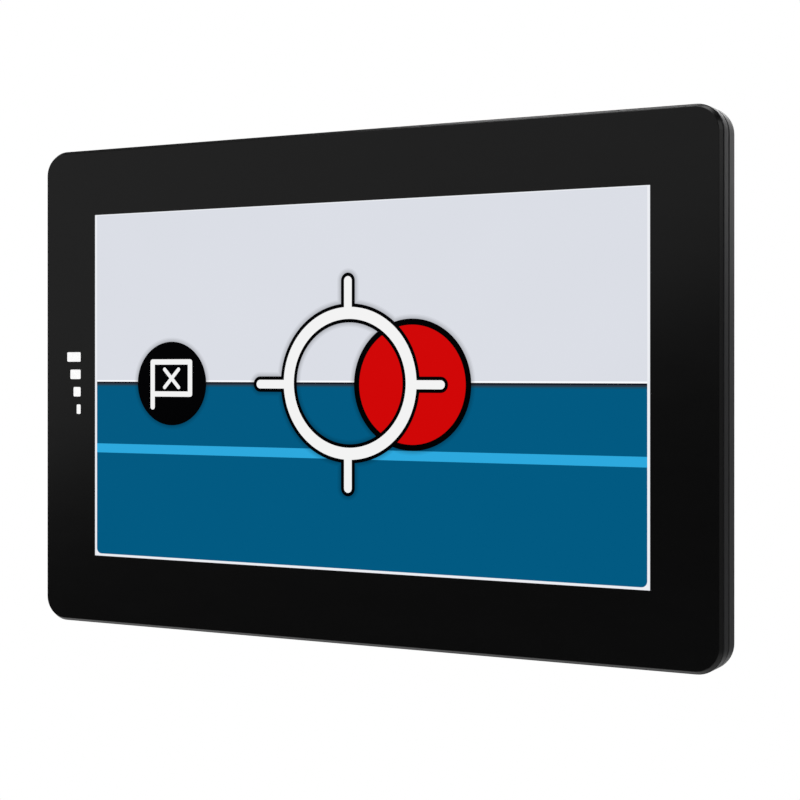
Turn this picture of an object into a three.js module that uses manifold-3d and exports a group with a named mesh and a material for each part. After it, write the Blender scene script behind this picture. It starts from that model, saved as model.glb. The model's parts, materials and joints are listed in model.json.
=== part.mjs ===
// A seven-inch touch display for a dashboard, with a radar and laser detector in the pod on its back.
//
// Frame: millimetres, +Z up, +X to the right of the person who looks at the screen, screen facing -Y.
// The origin is the centre of the mounting pad's face at the very back. Depths are counted backwards
// from the front of the cover glass, and yAt() turns a depth into Y. A span is [low, high].

import * as THREE from "three";
import { mergeVertices } from "three/addons/utils/BufferGeometryUtils.js";
import Module from "manifold-3d";

// ---- Driving dimensions ----

const CASE = { width: 186.6, height: 124.6, corner: 6.3, wall: 2.2 };
const LAYER_GAP = 0.05;
const THICKNESS = {
  glass: 1.1,
  adhesive: 0.2,
  frame: 2.8,
  seal: 0.6,
  shell: 5.7,
  podGasket: 0.6,
  pod: 13.7,
};
const LAYER = stackLayers(THICKNESS, LAYER_GAP);

const GLASS = { inset: 0.2, edge: { end: "front", inset: 0.6, depth: 0.8, steps: 1 } };
const ADHESIVE = { inset: 0.8, opening: { width: 168.6, height: 103.6, corner: 2.6 } };
const FRAME = { flange: 1.2, opening: { width: 167.4, height: 102.4, corner: 2 } };
const SEAL = { inset: 0.6, width: 1.4 };
const SHELL = {
  plate: 2,
  edge: { end: "back", inset: 2.5, depth: 2.5, steps: 3 },
  opening: { width: 120, height: 68, corner: 6 },
};
const SHELL_FLOOR = LAYER.shell.back - SHELL.plate;

const TOUCH = { width: 160, height: 96, corner: 1 };
const LCD = { width: 165, height: 100, corner: 0.8, thickness: 1 };
const BACKLIGHT = { width: 166, height: 101, corner: 1.2, thickness: 2.45 };
const LCD_FRONT = LAYER.frame.front;
const BACKLIGHT_FRONT = LCD_FRONT + LCD.thickness + LAYER_GAP;
const BACKLIGHT_BACK = BACKLIGHT_FRONT + BACKLIGHT.thickness;
const CHASSIS = {
  width: 164,
  height: 99,
  corner: 3,
  thickness: 1,
  notch: { x: [-22, 50], z: [-60, -34] },
  post: { radius: 2.8, bore: 1.2, boreDepth: 4 },
};
const CHASSIS_FRONT = BACKLIGHT_BACK + 2 * LAYER_GAP;

const POD = {
  width: 148,
  height: 86,
  corner: 10,
  wall: 2.2,
  plate: 2.4,
  edge: { end: "back", inset: 3, depth: 3, steps: 3 },
};
const POD_FLOOR = LAYER.pod.back - POD.plate;
const POD_GASKET = { inset: 2.4, width: 2.2 };
const PAD = {
  width: 52,
  height: 44,
  corner: 4,
  rise: 1.5,
  edge: { end: "back", inset: 0.5, depth: 0.5, steps: 1 },
};
const TOTAL_DEPTH = LAYER.pod.back + PAD.rise;

// The mounting holes: the rectangle of 38.1 by 30.2 mm that dash and vehicle brackets use.
const INSERT = {
  spacingX: 38.1,
  spacingZ: 30.2,
  radius: 2.9,
  bore: 1.65,
  length: 6.4,
  belowFace: 0.1,
  groove: { radius: 2.5, from: 2.6, to: 3.8 },
  socketRadius: 3.05,
  bossRadius: 4.6,
  bossFloor: 0.8,
};

const CASE_SCREW = {
  places: gridPlaces(86.6, 55.6).concat([[0, 55.6], [0, -55.6]]),
  head: { radius: 2.2, height: 1.45, chamfer: 0.4 },
  shank: { radius: 1.1, length: 5.75 },
  belowFace: 0.2,
  counterbore: { radius: 2.5, depth: 1.7 },
  hole: 1.35,
  shellBoss: { radius: 3.4, height: 1.2 },
  frameBoss: { radius: 2.6, bore: 1.25, boreFloor: 2.9 },
};
const POD_SCREW = {
  places: gridPlaces(66, 35),
  head: { radius: 2.6, height: 1.8, chamfer: 0.5 },
  shank: { radius: 1.45, length: 15.6 },
  belowFace: 0.4,
  counterbore: { radius: 2.9, depth: 2.25 },
  hole: 1.7,
  column: 3.6,
  shellBoss: { radius: 3.4, height: 2 },
};
const DRIVE = { radius: 1.15, depth: 0.9, sides: 6 };

const BUTTON = {
  names: ["volume_up", "volume_down", "mute", "power"],
  firstX: 16,
  pitch: 18,
  depth: 6.7,
  proud: 0.4,
  cap: { width: 12, height: 2, corner: 1 },
  hole: { width: 12.4, height: 2.4, corner: 1.2 },
  flange: { width: 13.6, height: 2.8, corner: 1.2, thickness: 0.9 },
  plunger: { width: 2.4, height: 1.2, length: 2.3 },
};
const SWITCH = {
  width: 5,
  height: 2.6,
  top: 57.8,
  length: 3.2,
  recess: { width: 2.8, height: 1.6, depth: 1.6 },
};
const KEY_BOARD = { x: [8, 80], z: [52.4, 58.2], thickness: 0.5 };

const BOARD = { width: 130, height: 70, corner: 2, thickness: 1.6, front: 12, notch: 4.4 };
const BOARD_BACK = BOARD.front + BOARD.thickness;
const BOARD_POST = { radius: 2.2, places: [[-28, 28], [50, 28], [-50, -30], [50, -30]] };
const ON_BOARD = BOARD_BACK + LAYER_GAP;

const SHIELD = {
  x: 6,
  z: -6,
  width: 40,
  height: 30,
  corner: 1.5,
  thickness: 2.6,
  edge: { end: "back", inset: 0.4, depth: 0.4, steps: 1 },
};
const GNSS = {
  base: { x: 6, z: 24, width: 18, height: 18, corner: 1 },
  puckInset: 0.8,
  baseThickness: 1,
  puckThickness: 3,
};
const CELL = { x: -24, z: -22, radius: 6.25, thickness: 2.5 };

const RADAR_WINDOW = {
  x: 47.5,
  z: 0,
  width: 36,
  height: 42,
  corner: 4,
  ledge: 2,
  thickness: 0.9,
  proud: 0,
};
const PANE_CLEARANCE = 0.25;
const RADAR_BOARD = {
  width: 34,
  height: 40,
  corner: 1,
  thickness: 0.8,
  patch: { width: 4.6, height: 3.6, rise: 0.1, pitchX: 7.2, pitchZ: 6.8, columns: 4, rows: 5 },
};
const RADAR_MODULE = { width: 28, height: 34, corner: 1.5, thickness: 4 };
const RADAR_BOARD_BACK = POD_FLOOR - 2 * LAYER_GAP;

const LASER = {
  x: -47.5,
  z: 22,
  width: 30,
  height: 13,
  corner: 3,
  ledge: 2,
  thickness: 1.7,
  proud: 0.3,
  edge: { end: "back", inset: 0.5, depth: 0.5, steps: 2 },
};
const LASER_BOARD = { width: 24, height: 10, corner: 1, thickness: 1, front: 18.5, eye: 2.6 };

const SPEAKER = {
  x: -47.5,
  z: -12,
  radius: 14,
  rim: 1.6,
  bowl: { radius: 12.4, wall: 1, depth: 4.8, floor: 1 },
  magnet: { radius: 8, thickness: 3.4 },
  cone: { radius: 11.15, hub: 4, fall: 1.6, skin: 0.5, belowRim: 0.45 },
  slot: { width: 26, height: 1.8, pitch: 4, count: 6 },
};

const VENT = { width: 1.6, pitch: 5, count: 11, depth: [13.6, 20.4] };

const POWER_SOCKET = { x: 14, recess: 0.4, width: 9, height: 3.3, length: 8 };
const DATA_SOCKET = { z: -5.3, width: 9, height: 3.3, length: 8 };
const PLUG_SPACE = { wall: 0.35, depth: 6.4, tongue: { width: 6.6, height: 0.7, length: 5 } };
const AUDIO_JACK = {
  x: -8,
  recess: 0.4,
  radius: 2.8,
  neck: 3,
  bore: 1.8,
  boreDepth: 10,
  body: { width: 6.4, height: 5.6, length: 9 },
};
const CARD_SOCKET = {
  z: 5.4,
  width: 10.4,
  height: 2,
  length: 9,
  slot: { width: 9.6, height: 0.9, length: 7 },
};
const SOCKET_CLEARANCE = 0.25;

const DOOR = {
  height: 26,
  front: 12.6,
  hinge: 20.6,
  thickness: 1,
  knuckle: 1,
  bore: 0.65,
  pin: 0.6,
  pinLength: 29.6,
  gap: 0.2,
  backGap: 1.6,
};
const BAY = {
  z: [-11, 11],
  depth: [13.6, 19.5],
  trough: 19.4,
  troughFloor: 2.2,
  seatGap: 0.1,
  block: { inward: 4.6, z: [-16.5, 16.5] },
  seal: { z: [-10.6, 10.6], depth: [14, 18.8], thickness: 1, wall: 0.9 },
};

const RIBBON = { thickness: 0.2 };
const LCD_RIBBON = {
  x: [-17, 17],
  route: [[5.15, -46], [5.15, -42], [7.6, -32.6], [11.2, -31], [11.75, -28], [11.75, -22]],
};
const TOUCH_RIBBON = {
  x: [34, 46],
  route: [
    [1.25, -48.05],
    [1.25, -50.85],
    [5.15, -50.85],
    [5.15, -42],
    [7.6, -32.6],
    [11.2, -31],
    [11.75, -28],
    [11.75, -24],
  ],
};
const KEY_RIBBON = {
  x: [12, 20],
  route: [[8.3, 52.3], [8.3, 33.4], [10.4, 31.8], [11.75, 28.6], [11.75, 20]],
};

const CUT = 1; // how far a cutter runs past the face that it cuts
const CORNER_STEPS = 2;
const ROUND_SIDES = 12;
const SMALL_ROUND_SIDES = 10;
const MERGE_DISTANCE = 1e-4;

// ---- Materials ----

function plain(color, roughness, metalness = 0) {
  return new THREE.MeshStandardMaterial({ color, roughness, metalness });
}

const MATERIAL = {
  coverGlass: plain(0x17171a, 0.08),
  adhesive: plain(0x0c0c0d, 0.7),
  sensorFilm: plain(0x3a4246, 0.2),
  screen: plain(0x015a82, 0.3),
  backlight: plain(0xd8dadc, 0.45, 0.4),
  frame: plain(0x2e2e31, 0.42, 0.3),
  seal: plain(0x151516, 0.85),
  shell: plain(0x29292b, 0.6),
  aluminium: plain(0xa9adb0, 0.4, 1),
  brass: plain(0xb08d4a, 0.35, 1),
  screwSteel: plain(0x2b2b2d, 0.45, 0.9),
  board: plain(0x123b2a, 0.55),
  tinned: plain(0xb9bcc0, 0.35, 1),
  ceramic: plain(0xcfc7b4, 0.6),
  steel: plain(0x8f9296, 0.35, 1),
  antennaBoard: plain(0x1d2b45, 0.5),
  radarWindow: plain(0x141416, 0.35),
  laserLens: plain(0x3a0709, 0.12),
  buttonCap: plain(0x202022, 0.55),
  switchBody: plain(0x1b1b1b, 0.6),
  plunger: plain(0xc8c8c4, 0.5),
  socketPlastic: plain(0x101011, 0.55),
  cone: plain(0x1a1a1c, 0.8),
  ribbon: plain(0x8a5a1c, 0.45),
};

// ---- Solids ----

const wasm = await Module();
wasm.setup();

function stackLayers(thicknesses, gap) {
  const layers = {};
  let front = 0;
  for (const [name, thickness] of Object.entries(thicknesses)) {
    layers[name] = { front, back: front + thickness };
    front += thickness + gap;
  }
  return layers;
}

function gridPlaces(x, z) {
  return [[-x, -z], [x, -z], [x, z], [-x, z]];
}

function yAt(depth) {
  return depth - TOTAL_DEPTH;
}

function around(centre, size) {
  return [centre - size / 2, centre + size / 2];
}

function toSolid(geometry) {
  geometry.deleteAttribute("normal");
  geometry.deleteAttribute("uv");
  const merged = mergeVertices(geometry, MERGE_DISTANCE);
  return new wasm.Manifold(
    new wasm.Mesh({
      numProp: 3,
      vertProperties: merged.attributes.position.array,
      triVerts: new Uint32Array(merged.index.array),
    }),
  );
}

function toGeometry(solid) {
  const mesh = solid.getMesh();
  const geometry = new THREE.BufferGeometry();
  geometry.setAttribute("position", new THREE.BufferAttribute(mesh.vertProperties, 3));
  geometry.setIndex(new THREE.BufferAttribute(mesh.triVerts, 1));
  geometry.computeVertexNormals();
  return geometry;
}

function roundedRectangle({ width, height, corner, x = 0, z = 0 }) {
  const [left, right] = around(x, width - 2 * corner);
  const [bottom, top] = around(z, height - 2 * corner);
  const shape = new THREE.Shape();
  [[right, top], [left, top], [left, bottom], [right, bottom]].forEach(([cx, cz], quarter) => {
    shape.absarc(cx, cz, corner, (quarter * Math.PI) / 2, ((quarter + 1) * Math.PI) / 2);
  });
  return shape;
}

function inset(outline, amount) {
  return {
    ...outline,
    width: outline.width - 2 * amount,
    height: outline.height - 2 * amount,
    corner: outline.corner - amount,
  };
}

// A flat plate of a rounded outline between two depths.
function plate(outline, front, back) {
  const geometry = new THREE.ExtrudeGeometry(roundedRectangle(outline), {
    depth: back - front,
    bevelEnabled: false,
    curveSegments: CORNER_STEPS,
  });
  return toSolid(geometry.rotateX(Math.PI / 2).translate(0, yAt(back), 0));
}

// A plate whose front or back edge is rounded or chamfered.
function edgedPlate(outline, front, back, edge) {
  const geometry = new THREE.ExtrudeGeometry(roundedRectangle(outline), {
    depth: back - front - edge.depth,
    bevelThickness: edge.depth,
    bevelSize: edge.inset,
    bevelOffset: -edge.inset,
    bevelSegments: edge.steps,
    curveSegments: CORNER_STEPS,
  });
  const straightBack = edge.end === "back" ? back - edge.depth : back;
  const edgedTwice = toSolid(geometry.rotateX(Math.PI / 2).translate(0, yAt(straightBack), 0));
  const x = around(outline.x ?? 0, outline.width + CUT);
  const z = around(outline.z ?? 0, outline.height + CUT);
  return edgedTwice.intersect(block(x, [front, back], z));
}

function ring(outline, opening, front, back) {
  return plate(outline, front, back).subtract(plate(opening, front - CUT, back + CUT));
}

function block(x, depth, z) {
  const spans = [x, depth, z];
  const [width, thickness, height] = spans.map(([low, high]) => high - low);
  const [cx, cDepth, cz] = spans.map(([low, high]) => (low + high) / 2);
  return toSolid(new THREE.BoxGeometry(width, thickness, height).translate(cx, yAt(cDepth), cz));
}

// A round bar along the depth.
function rod(x, z, radius, [front, back], sides = ROUND_SIDES) {
  const geometry = new THREE.CylinderGeometry(radius, radius, back - front, sides);
  return toSolid(geometry.translate(x, yAt((front + back) / 2), z));
}

// A round bar standing upright.
function uprightRod(x, depth, radius, [bottom, top], sides = SMALL_ROUND_SIDES) {
  const geometry = new THREE.CylinderGeometry(radius, radius, top - bottom, sides);
  return toSolid(geometry.rotateX(Math.PI / 2).translate(x, yAt(depth), (bottom + top) / 2));
}

// A rounded outline in X and Y, extruded upwards.
function pillar(outline, [bottom, top], x = 0, depth = TOTAL_DEPTH) {
  const geometry = new THREE.ExtrudeGeometry(roundedRectangle(outline), {
    depth: top - bottom,
    bevelEnabled: false,
    curveSegments: CORNER_STEPS,
  });
  return toSolid(geometry.translate(x, yAt(depth), bottom));
}

function turned(profile, sides = SMALL_ROUND_SIDES) {
  const points = profile.map(([radius, y]) => new THREE.Vector2(radius, y));
  return toSolid(new THREE.LatheGeometry(points, sides));
}

function joinAll(solids) {
  return solids.reduce((joined, solid) => joined.add(solid));
}

function cutAll(solid, cutters) {
  return cutters.reduce((left, cutter) => left.subtract(cutter), solid);
}

// A flat ribbon of one width that follows a route of [depth, z] points.
function ribbon({ x, route }) {
  const points = route.map(([depth, z]) => new THREE.Vector2(yAt(depth), z));
  const half = RIBBON.thickness / 2;
  const offsets = points.map((point, i) => {
    const before = leftNormal(points[Math.max(i - 1, 0)], points[Math.max(i, 1)]);
    const last = points.length - 1;
    const after = leftNormal(points[Math.min(i, last - 1)], points[Math.min(i + 1, last)]);
    return before.clone().add(after).multiplyScalar(half / (1 + before.dot(after)));
  });
  const left = points.map((point, i) => point.clone().add(offsets[i]));
  const right = points.map((point, i) => point.clone().sub(offsets[i]));
  const geometry = new THREE.ExtrudeGeometry(new THREE.Shape([...left, ...right.reverse()]), {
    depth: x[1] - x[0],
    bevelEnabled: false,
  });
  const xyzToYzx = new THREE.Matrix4().set(0, 0, 1, x[0], 1, 0, 0, 0, 0, 1, 0, 0, 0, 0, 0, 1);
  return toSolid(geometry.applyMatrix4(xyzToYzx));
}

function leftNormal(from, to) {
  const along = to.clone().sub(from).normalize();
  return new THREE.Vector2(-along.y, along.x);
}

// ---- Front: glass, screen and frame ----

function coverGlass() {
  return edgedPlate(inset(CASE, GLASS.inset), LAYER.glass.front, LAYER.glass.back, GLASS.edge);
}

function glassAdhesive() {
  const { front, back } = LAYER.adhesive;
  return ring(inset(CASE, ADHESIVE.inset), ADHESIVE.opening, front, back);
}

function touchSensor() {
  return plate(TOUCH, LAYER.adhesive.front, LAYER.adhesive.back);
}

function frontFrame() {
  const { front, back } = LAYER.frame;
  const { frameBoss, places } = CASE_SCREW;
  const flangeBack = front + FRAME.flange;
  const rim = plate(CASE, front, back);
  const opening = plate(FRAME.opening, front - CUT, flangeBack + CUT);
  const hollow = plate(inset(CASE, CASE.wall), flangeBack, back + CUT);
  const bossBack = SHELL_FLOOR - CASE_SCREW.shellBoss.height - LAYER_GAP;
  const bosses = places.map(([x, z]) => {
    const boss = rod(x, z, frameBoss.radius, [front + LAYER_GAP, bossBack]);
    return boss.subtract(rod(x, z, frameBoss.bore, [frameBoss.boreFloor, bossBack + CUT]));
  });
  const bare = cutAll(rim, [opening, hollow]);
  const holes = places.map(([x, z]) => rod(x, z, frameBoss.bore, [frameBoss.boreFloor, back]));
  return cutAll(joinAll([bare, ...bosses]), holes);
}

function perimeterSeal() {
  const outline = inset(CASE, SEAL.inset);
  return ring(outline, inset(outline, SEAL.width), LAYER.seal.front, LAYER.seal.back);
}

function chassisPlate() {
  const back = CHASSIS_FRONT + CHASSIS.thickness;
  const { notch, post } = CHASSIS;
  const sheet = plate(CHASSIS, CHASSIS_FRONT, back);
  const notched = sheet.subtract(block(notch.x, [CHASSIS_FRONT - CUT, back + CUT], notch.z));
  const postBack = BOARD.front - LAYER_GAP;
  const posts = BOARD_POST.places.map(([x, z]) => {
    const solid = rod(x, z, post.radius, [CHASSIS_FRONT, postBack], SMALL_ROUND_SIDES);
    const bore = rod(x, z, post.bore, [postBack - post.boreDepth, postBack + CUT], SMALL_ROUND_SIDES);
    return solid.subtract(bore);
  });
  return joinAll([notched, ...posts]);
}

// ---- Rear shell ----

function buttonX(index) {
  return BUTTON.firstX + index * BUTTON.pitch;
}

function rearShell() {
  const { front, back } = LAYER.shell;
  const skin = edgedPlate(CASE, front, back, SHELL.edge);
  const hollow = plate(inset(CASE, CASE.wall), front - CUT, SHELL_FLOOR);
  const opening = plate(SHELL.opening, SHELL_FLOOR - CUT, back + CUT);
  const bossesFor = ({ places, shellBoss }) =>
    places.map(([x, z]) => rod(x, z, shellBoss.radius, [SHELL_FLOOR - shellBoss.height, back - CUT]));
  const holesFor = ({ places, hole }) => places.map(([x, z]) => rod(x, z, hole, [front, back + CUT]));
  const { counterbore } = CASE_SCREW;
  const counterbores = CASE_SCREW.places.map(([x, z]) =>
    rod(x, z, counterbore.radius, [back - counterbore.depth, back + CUT]),
  );
  const top = CASE.height / 2;
  const buttonHoles = BUTTON.names.map((name, i) =>
    pillar(BUTTON.hole, [top - CASE.wall - CUT, top + CUT], buttonX(i), BUTTON.depth),
  );
  const body = cutAll(skin, [hollow, opening]);
  const bossed = joinAll([body, ...bossesFor(CASE_SCREW), ...bossesFor(POD_SCREW)]);
  return cutAll(bossed, [...holesFor(CASE_SCREW), ...holesFor(POD_SCREW), ...counterbores, ...buttonHoles]);
}

// ---- Buttons on the top edge ----

function buttonCap(x) {
  const top = CASE.height / 2;
  const innerFace = top - CASE.wall - LAYER_GAP;
  const flange = [innerFace - BUTTON.flange.thickness, innerFace];
  return pillar(BUTTON.cap, [flange[0], top + BUTTON.proud], x, BUTTON.depth).add(
    pillar(BUTTON.flange, flange, x, BUTTON.depth),
  );
}

function switchPlunger(x) {
  const top = CASE.height / 2 - CASE.wall - 2 * LAYER_GAP - BUTTON.flange.thickness;
  const { width, height, length } = BUTTON.plunger;
  return block(around(x, width), around(BUTTON.depth, height), [top - length, top]);
}

function switchHousing(x) {
  const { width, height, top, length, recess } = SWITCH;
  const body = block(around(x, width), around(BUTTON.depth, height), [top - length, top]);
  const mouth = [top - recess.depth, top + CUT];
  return body.subtract(block(around(x, recess.width), around(BUTTON.depth, recess.height), mouth));
}

function keyBoard() {
  const back = SHELL_FLOOR - LAYER_GAP;
  return block(KEY_BOARD.x, [back - KEY_BOARD.thickness, back], KEY_BOARD.z);
}

// ---- Pod on the back ----

function podGasket() {
  const outline = inset(POD, POD_GASKET.inset);
  return ring(outline, inset(outline, POD_GASKET.width), LAYER.podGasket.front, LAYER.podGasket.back);
}

function podSkin() {
  const { front, back } = LAYER.pod;
  const skin = edgedPlate(POD, front, back, POD.edge);
  const hollow = plate(inset(POD, POD.wall), front - CUT, POD_FLOOR);
  const pad = edgedPlate(PAD, back - CUT, TOTAL_DEPTH, PAD.edge);
  return skin.subtract(hollow).add(pad);
}

function insertPlaces() {
  return gridPlaces(INSERT.spacingX / 2, INSERT.spacingZ / 2);
}

// Screw columns, bosses for the mounting inserts, and posts that press on the main board.
function podBosses() {
  const insertFloor = TOTAL_DEPTH - INSERT.belowFace - INSERT.length - INSERT.bossFloor;
  const intoPlate = POD_FLOOR + CUT;
  const columns = POD_SCREW.places.map(([x, z]) =>
    rod(x, z, POD_SCREW.column, [LAYER.pod.front, intoPlate]),
  );
  const insertBosses = insertPlaces().map(([x, z]) => rod(x, z, INSERT.bossRadius, [insertFloor, intoPlate]));
  const posts = BOARD_POST.places.map(([x, z]) =>
    rod(x, z, BOARD_POST.radius, [ON_BOARD, intoPlate], SMALL_ROUND_SIDES),
  );
  return [...columns, ...insertBosses, ...posts];
}

function podFastenerHoles() {
  const { front, back } = LAYER.pod;
  const { places, hole, counterbore } = POD_SCREW;
  const shafts = places.map(([x, z]) => rod(x, z, hole, [front - CUT, back + CUT]));
  const counterbores = places.map(([x, z]) =>
    rod(x, z, counterbore.radius, [back - counterbore.depth, back + CUT]),
  );
  const insertFront = TOTAL_DEPTH - INSERT.belowFace - INSERT.length - LAYER_GAP;
  const inserts = insertPlaces().map(([x, z]) =>
    rod(x, z, INSERT.socketRadius, [insertFront, TOTAL_DEPTH + CUT]),
  );
  return [...shafts, ...counterbores, ...inserts];
}

// A stepped hole through the back plate, which a window or lens sits in.
function windowHoles(pane) {
  const { back } = LAYER.pod;
  const seatDepth = pane.thickness - pane.proud + 2 * LAYER_GAP;
  return [
    plate(pane, back - seatDepth, back + CUT),
    plate(inset(pane, pane.ledge), POD_FLOOR - CUT, back + CUT),
  ];
}

function speakerSlots() {
  const { slot, x, z } = SPEAKER;
  return Array.from({ length: slot.count }, (_, i) => {
    const slotZ = z + (i - (slot.count - 1) / 2) * slot.pitch;
    const outline = { width: slot.width, height: slot.height, corner: slot.height / 2, x, z: slotZ };
    return plate(outline, POD_FLOOR - CUT, LAYER.pod.back + CUT);
  });
}

function ventSlots() {
  const top = POD.height / 2;
  return Array.from({ length: VENT.count }, (_, i) => {
    const x = (i - (VENT.count - 1) / 2) * VENT.pitch;
    return block(around(x, VENT.width), VENT.depth, [top - POD.wall - CUT, top + CUT]);
  });
}

function socketHoles() {
  const through = [-POD.height / 2 - CUT, -POD.height / 2 + POD.wall + CUT];
  const powerDepth = ON_BOARD + POWER_SOCKET.height / 2;
  const jackDepth = ON_BOARD + AUDIO_JACK.body.height / 2;
  const { width, height } = POWER_SOCKET;
  const power = inset({ width, height, corner: height / 2 }, -SOCKET_CLEARANCE);
  return [
    pillar(power, through, POWER_SOCKET.x, powerDepth),
    uprightRod(AUDIO_JACK.x, jackDepth, AUDIO_JACK.radius + SOCKET_CLEARANCE, through),
  ];
}

// The service bay in the left wall: a block behind the wall, with a seat and hinge trough for the
// door and a pocket to the sockets.
function serviceBay(body) {
  const outer = -POD.width / 2;
  const doorHeight = [-DOOR.height / 2 - DOOR.gap, DOOR.height / 2 + DOOR.gap];
  const seatDepth = [DOOR.front - DOOR.gap, DOOR.hinge + DOOR.backGap];
  const seatFloor = outer + DOOR.thickness + BAY.seatGap;
  const blockBody = block(
    [outer + POD.wall / 2, outer + BAY.block.inward],
    [LAYER.pod.front, POD_FLOOR + CUT],
    BAY.block.z,
  );
  const pinHole = around(0, DOOR.pinLength + 2 * LAYER_GAP);
  return cutAll(body.add(blockBody), [
    block([outer - CUT, seatFloor], seatDepth, doorHeight),
    block([outer - CUT, outer + BAY.troughFloor], [BAY.trough, seatDepth[1]], doorHeight),
    block([outer - CUT, outer + BAY.block.inward + CUT], BAY.depth, BAY.z),
    uprightRod(outer + DOOR.knuckle, DOOR.hinge, DOOR.bore, pinHole),
  ]);
}

function podCover() {
  const bossed = joinAll([podSkin(), ...podBosses()]);
  return cutAll(serviceBay(bossed), [
    ...podFastenerHoles(),
    ...windowHoles(RADAR_WINDOW),
    ...windowHoles(LASER),
    ...speakerSlots(),
    ...ventSlots(),
    ...socketHoles(),
  ]);
}

function mountInsert() {
  const { radius, bore, length, groove } = INSERT;
  return turned([
    [bore, -length],
    [radius, -length],
    [radius, -groove.to],
    [groove.radius, -groove.to],
    [groove.radius, -groove.from],
    [radius, -groove.from],
    [radius, 0],
    [bore, 0],
    [bore, -length],
  ]);
}

function screw({ head, shank }) {
  const full = head.height + shank.length;
  const solid = turned([
    [0, -full],
    [shank.radius, -full],
    [shank.radius, -head.height],
    [head.radius, -head.height],
    [head.radius, -head.chamfer],
    [head.radius - head.chamfer, 0],
    [0, 0],
  ]);
  const drive = new THREE.CylinderGeometry(DRIVE.radius, DRIVE.radius, 2 * DRIVE.depth, DRIVE.sides);
  return solid.subtract(toSolid(drive));
}

// ---- Service door on the pod's left wall ----

function serviceDoor() {
  const outer = -POD.width / 2;
  const z = around(0, DOOR.height);
  const leaf = block([outer, outer + DOOR.thickness], [DOOR.front, DOOR.hinge], z);
  const knuckle = uprightRod(outer + DOOR.knuckle, DOOR.hinge, DOOR.knuckle, z);
  const bore = uprightRod(outer + DOOR.knuckle, DOOR.hinge, DOOR.bore, around(0, DOOR.height + CUT));
  return leaf.add(knuckle).subtract(bore);
}

function serviceDoorPin() {
  const x = -POD.width / 2 + DOOR.knuckle;
  return uprightRod(x, DOOR.hinge, DOOR.pin, around(0, DOOR.pinLength));
}

function serviceDoorSeal() {
  const { z, depth, thickness, wall } = BAY.seal;
  const front = -POD.width / 2 + DOOR.thickness + LAYER_GAP;
  const x = [front, front + thickness];
  const inner = ([low, high]) => [low + wall, high - wall];
  return block(x, depth, z).subtract(block([x[0] - CUT, x[1] + CUT], inner(depth), inner(z)));
}

// ---- Electronics ----

function mainBoard() {
  const sheet = plate(BOARD, BOARD.front, BOARD_BACK);
  const notches = POD_SCREW.places.map(([x, z]) =>
    rod(x, z, BOARD.notch, [BOARD.front - CUT, BOARD_BACK + CUT]),
  );
  return cutAll(sheet, notches);
}

function processorShield() {
  return edgedPlate(SHIELD, ON_BOARD, ON_BOARD + SHIELD.thickness, SHIELD.edge);
}

function gnssAntenna() {
  const { base, puckInset, baseThickness, puckThickness } = GNSS;
  const baseBack = ON_BOARD + baseThickness;
  const puck = plate(inset(base, puckInset), ON_BOARD + LAYER_GAP, baseBack + puckThickness);
  return plate(base, ON_BOARD, baseBack).add(puck);
}

function backupCell() {
  return rod(CELL.x, CELL.z, CELL.radius, [ON_BOARD, ON_BOARD + CELL.thickness]);
}

function radarAntenna() {
  const { x, z } = RADAR_WINDOW;
  const { patch, thickness } = RADAR_BOARD;
  const sheet = plate({ ...RADAR_BOARD, x, z }, RADAR_BOARD_BACK - thickness, RADAR_BOARD_BACK);
  const patches = [];
  for (let column = 0; column < patch.columns; column += 1) {
    for (let row = 0; row < patch.rows; row += 1) {
      const px = x + (column - (patch.columns - 1) / 2) * patch.pitchX;
      const pz = z + (row - (patch.rows - 1) / 2) * patch.pitchZ;
      const depth = [RADAR_BOARD_BACK - thickness / 2, RADAR_BOARD_BACK + patch.rise];
      patches.push(block(around(px, patch.width), depth, around(pz, patch.height)));
    }
  }
  return joinAll([sheet, ...patches]);
}

function radarModule() {
  const { x, z } = RADAR_WINDOW;
  const back = RADAR_BOARD_BACK - RADAR_BOARD.thickness - LAYER_GAP;
  return plate({ ...RADAR_MODULE, x, z }, back - RADAR_MODULE.thickness, back);
}

function radarWindow() {
  const { back } = LAYER.pod;
  return plate(inset(RADAR_WINDOW, PANE_CLEARANCE), back - RADAR_WINDOW.thickness, back);
}

function laserLens() {
  const back = LAYER.pod.back + LASER.proud;
  return edgedPlate(inset(LASER, PANE_CLEARANCE), back - LASER.thickness, back, LASER.edge);
}

function laserSensor() {
  const { x, z } = LASER;
  const back = LASER_BOARD.front + LASER_BOARD.thickness;
  const eye = new THREE.SphereGeometry(LASER_BOARD.eye, SMALL_ROUND_SIDES, SMALL_ROUND_SIDES / 2);
  const { width, height, front } = LASER_BOARD;
  const sheet = plate({ ...LASER_BOARD, x, z }, front, back);
  const dome = toSolid(eye.translate(x, yAt(back), z));
  const behind = block(around(x, width), [front, TOTAL_DEPTH], around(z, height));
  return sheet.add(dome.intersect(behind));
}

function speakerBasket() {
  const { x, z, radius, rim, bowl, magnet } = SPEAKER;
  const back = POD_FLOOR - LAYER_GAP;
  const front = back - bowl.depth;
  const outside = rod(x, z, radius, [back - rim, back]).add(rod(x, z, bowl.radius, [front, back]));
  const motor = rod(x, z, magnet.radius, [front - magnet.thickness, front + bowl.floor]);
  const hollow = rod(x, z, bowl.radius - bowl.wall, [front + bowl.floor, back + CUT]);
  return outside.add(motor).subtract(hollow);
}

function speakerCone() {
  const { radius, hub, fall, skin } = SPEAKER.cone;
  const profile = [
    [0, -fall - skin],
    [hub, -fall - skin],
    [radius, -skin],
    [radius, 0],
    [hub, -fall],
    [0, -fall],
  ];
  return turned(profile, ROUND_SIDES);
}

// Sockets are made with the mouth at the origin, facing +Z, and the body below it.

function sunkBox({ width, height, length }, top = 0) {
  return toSolid(new THREE.BoxGeometry(width, height, length).translate(0, 0, top - length / 2));
}

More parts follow.
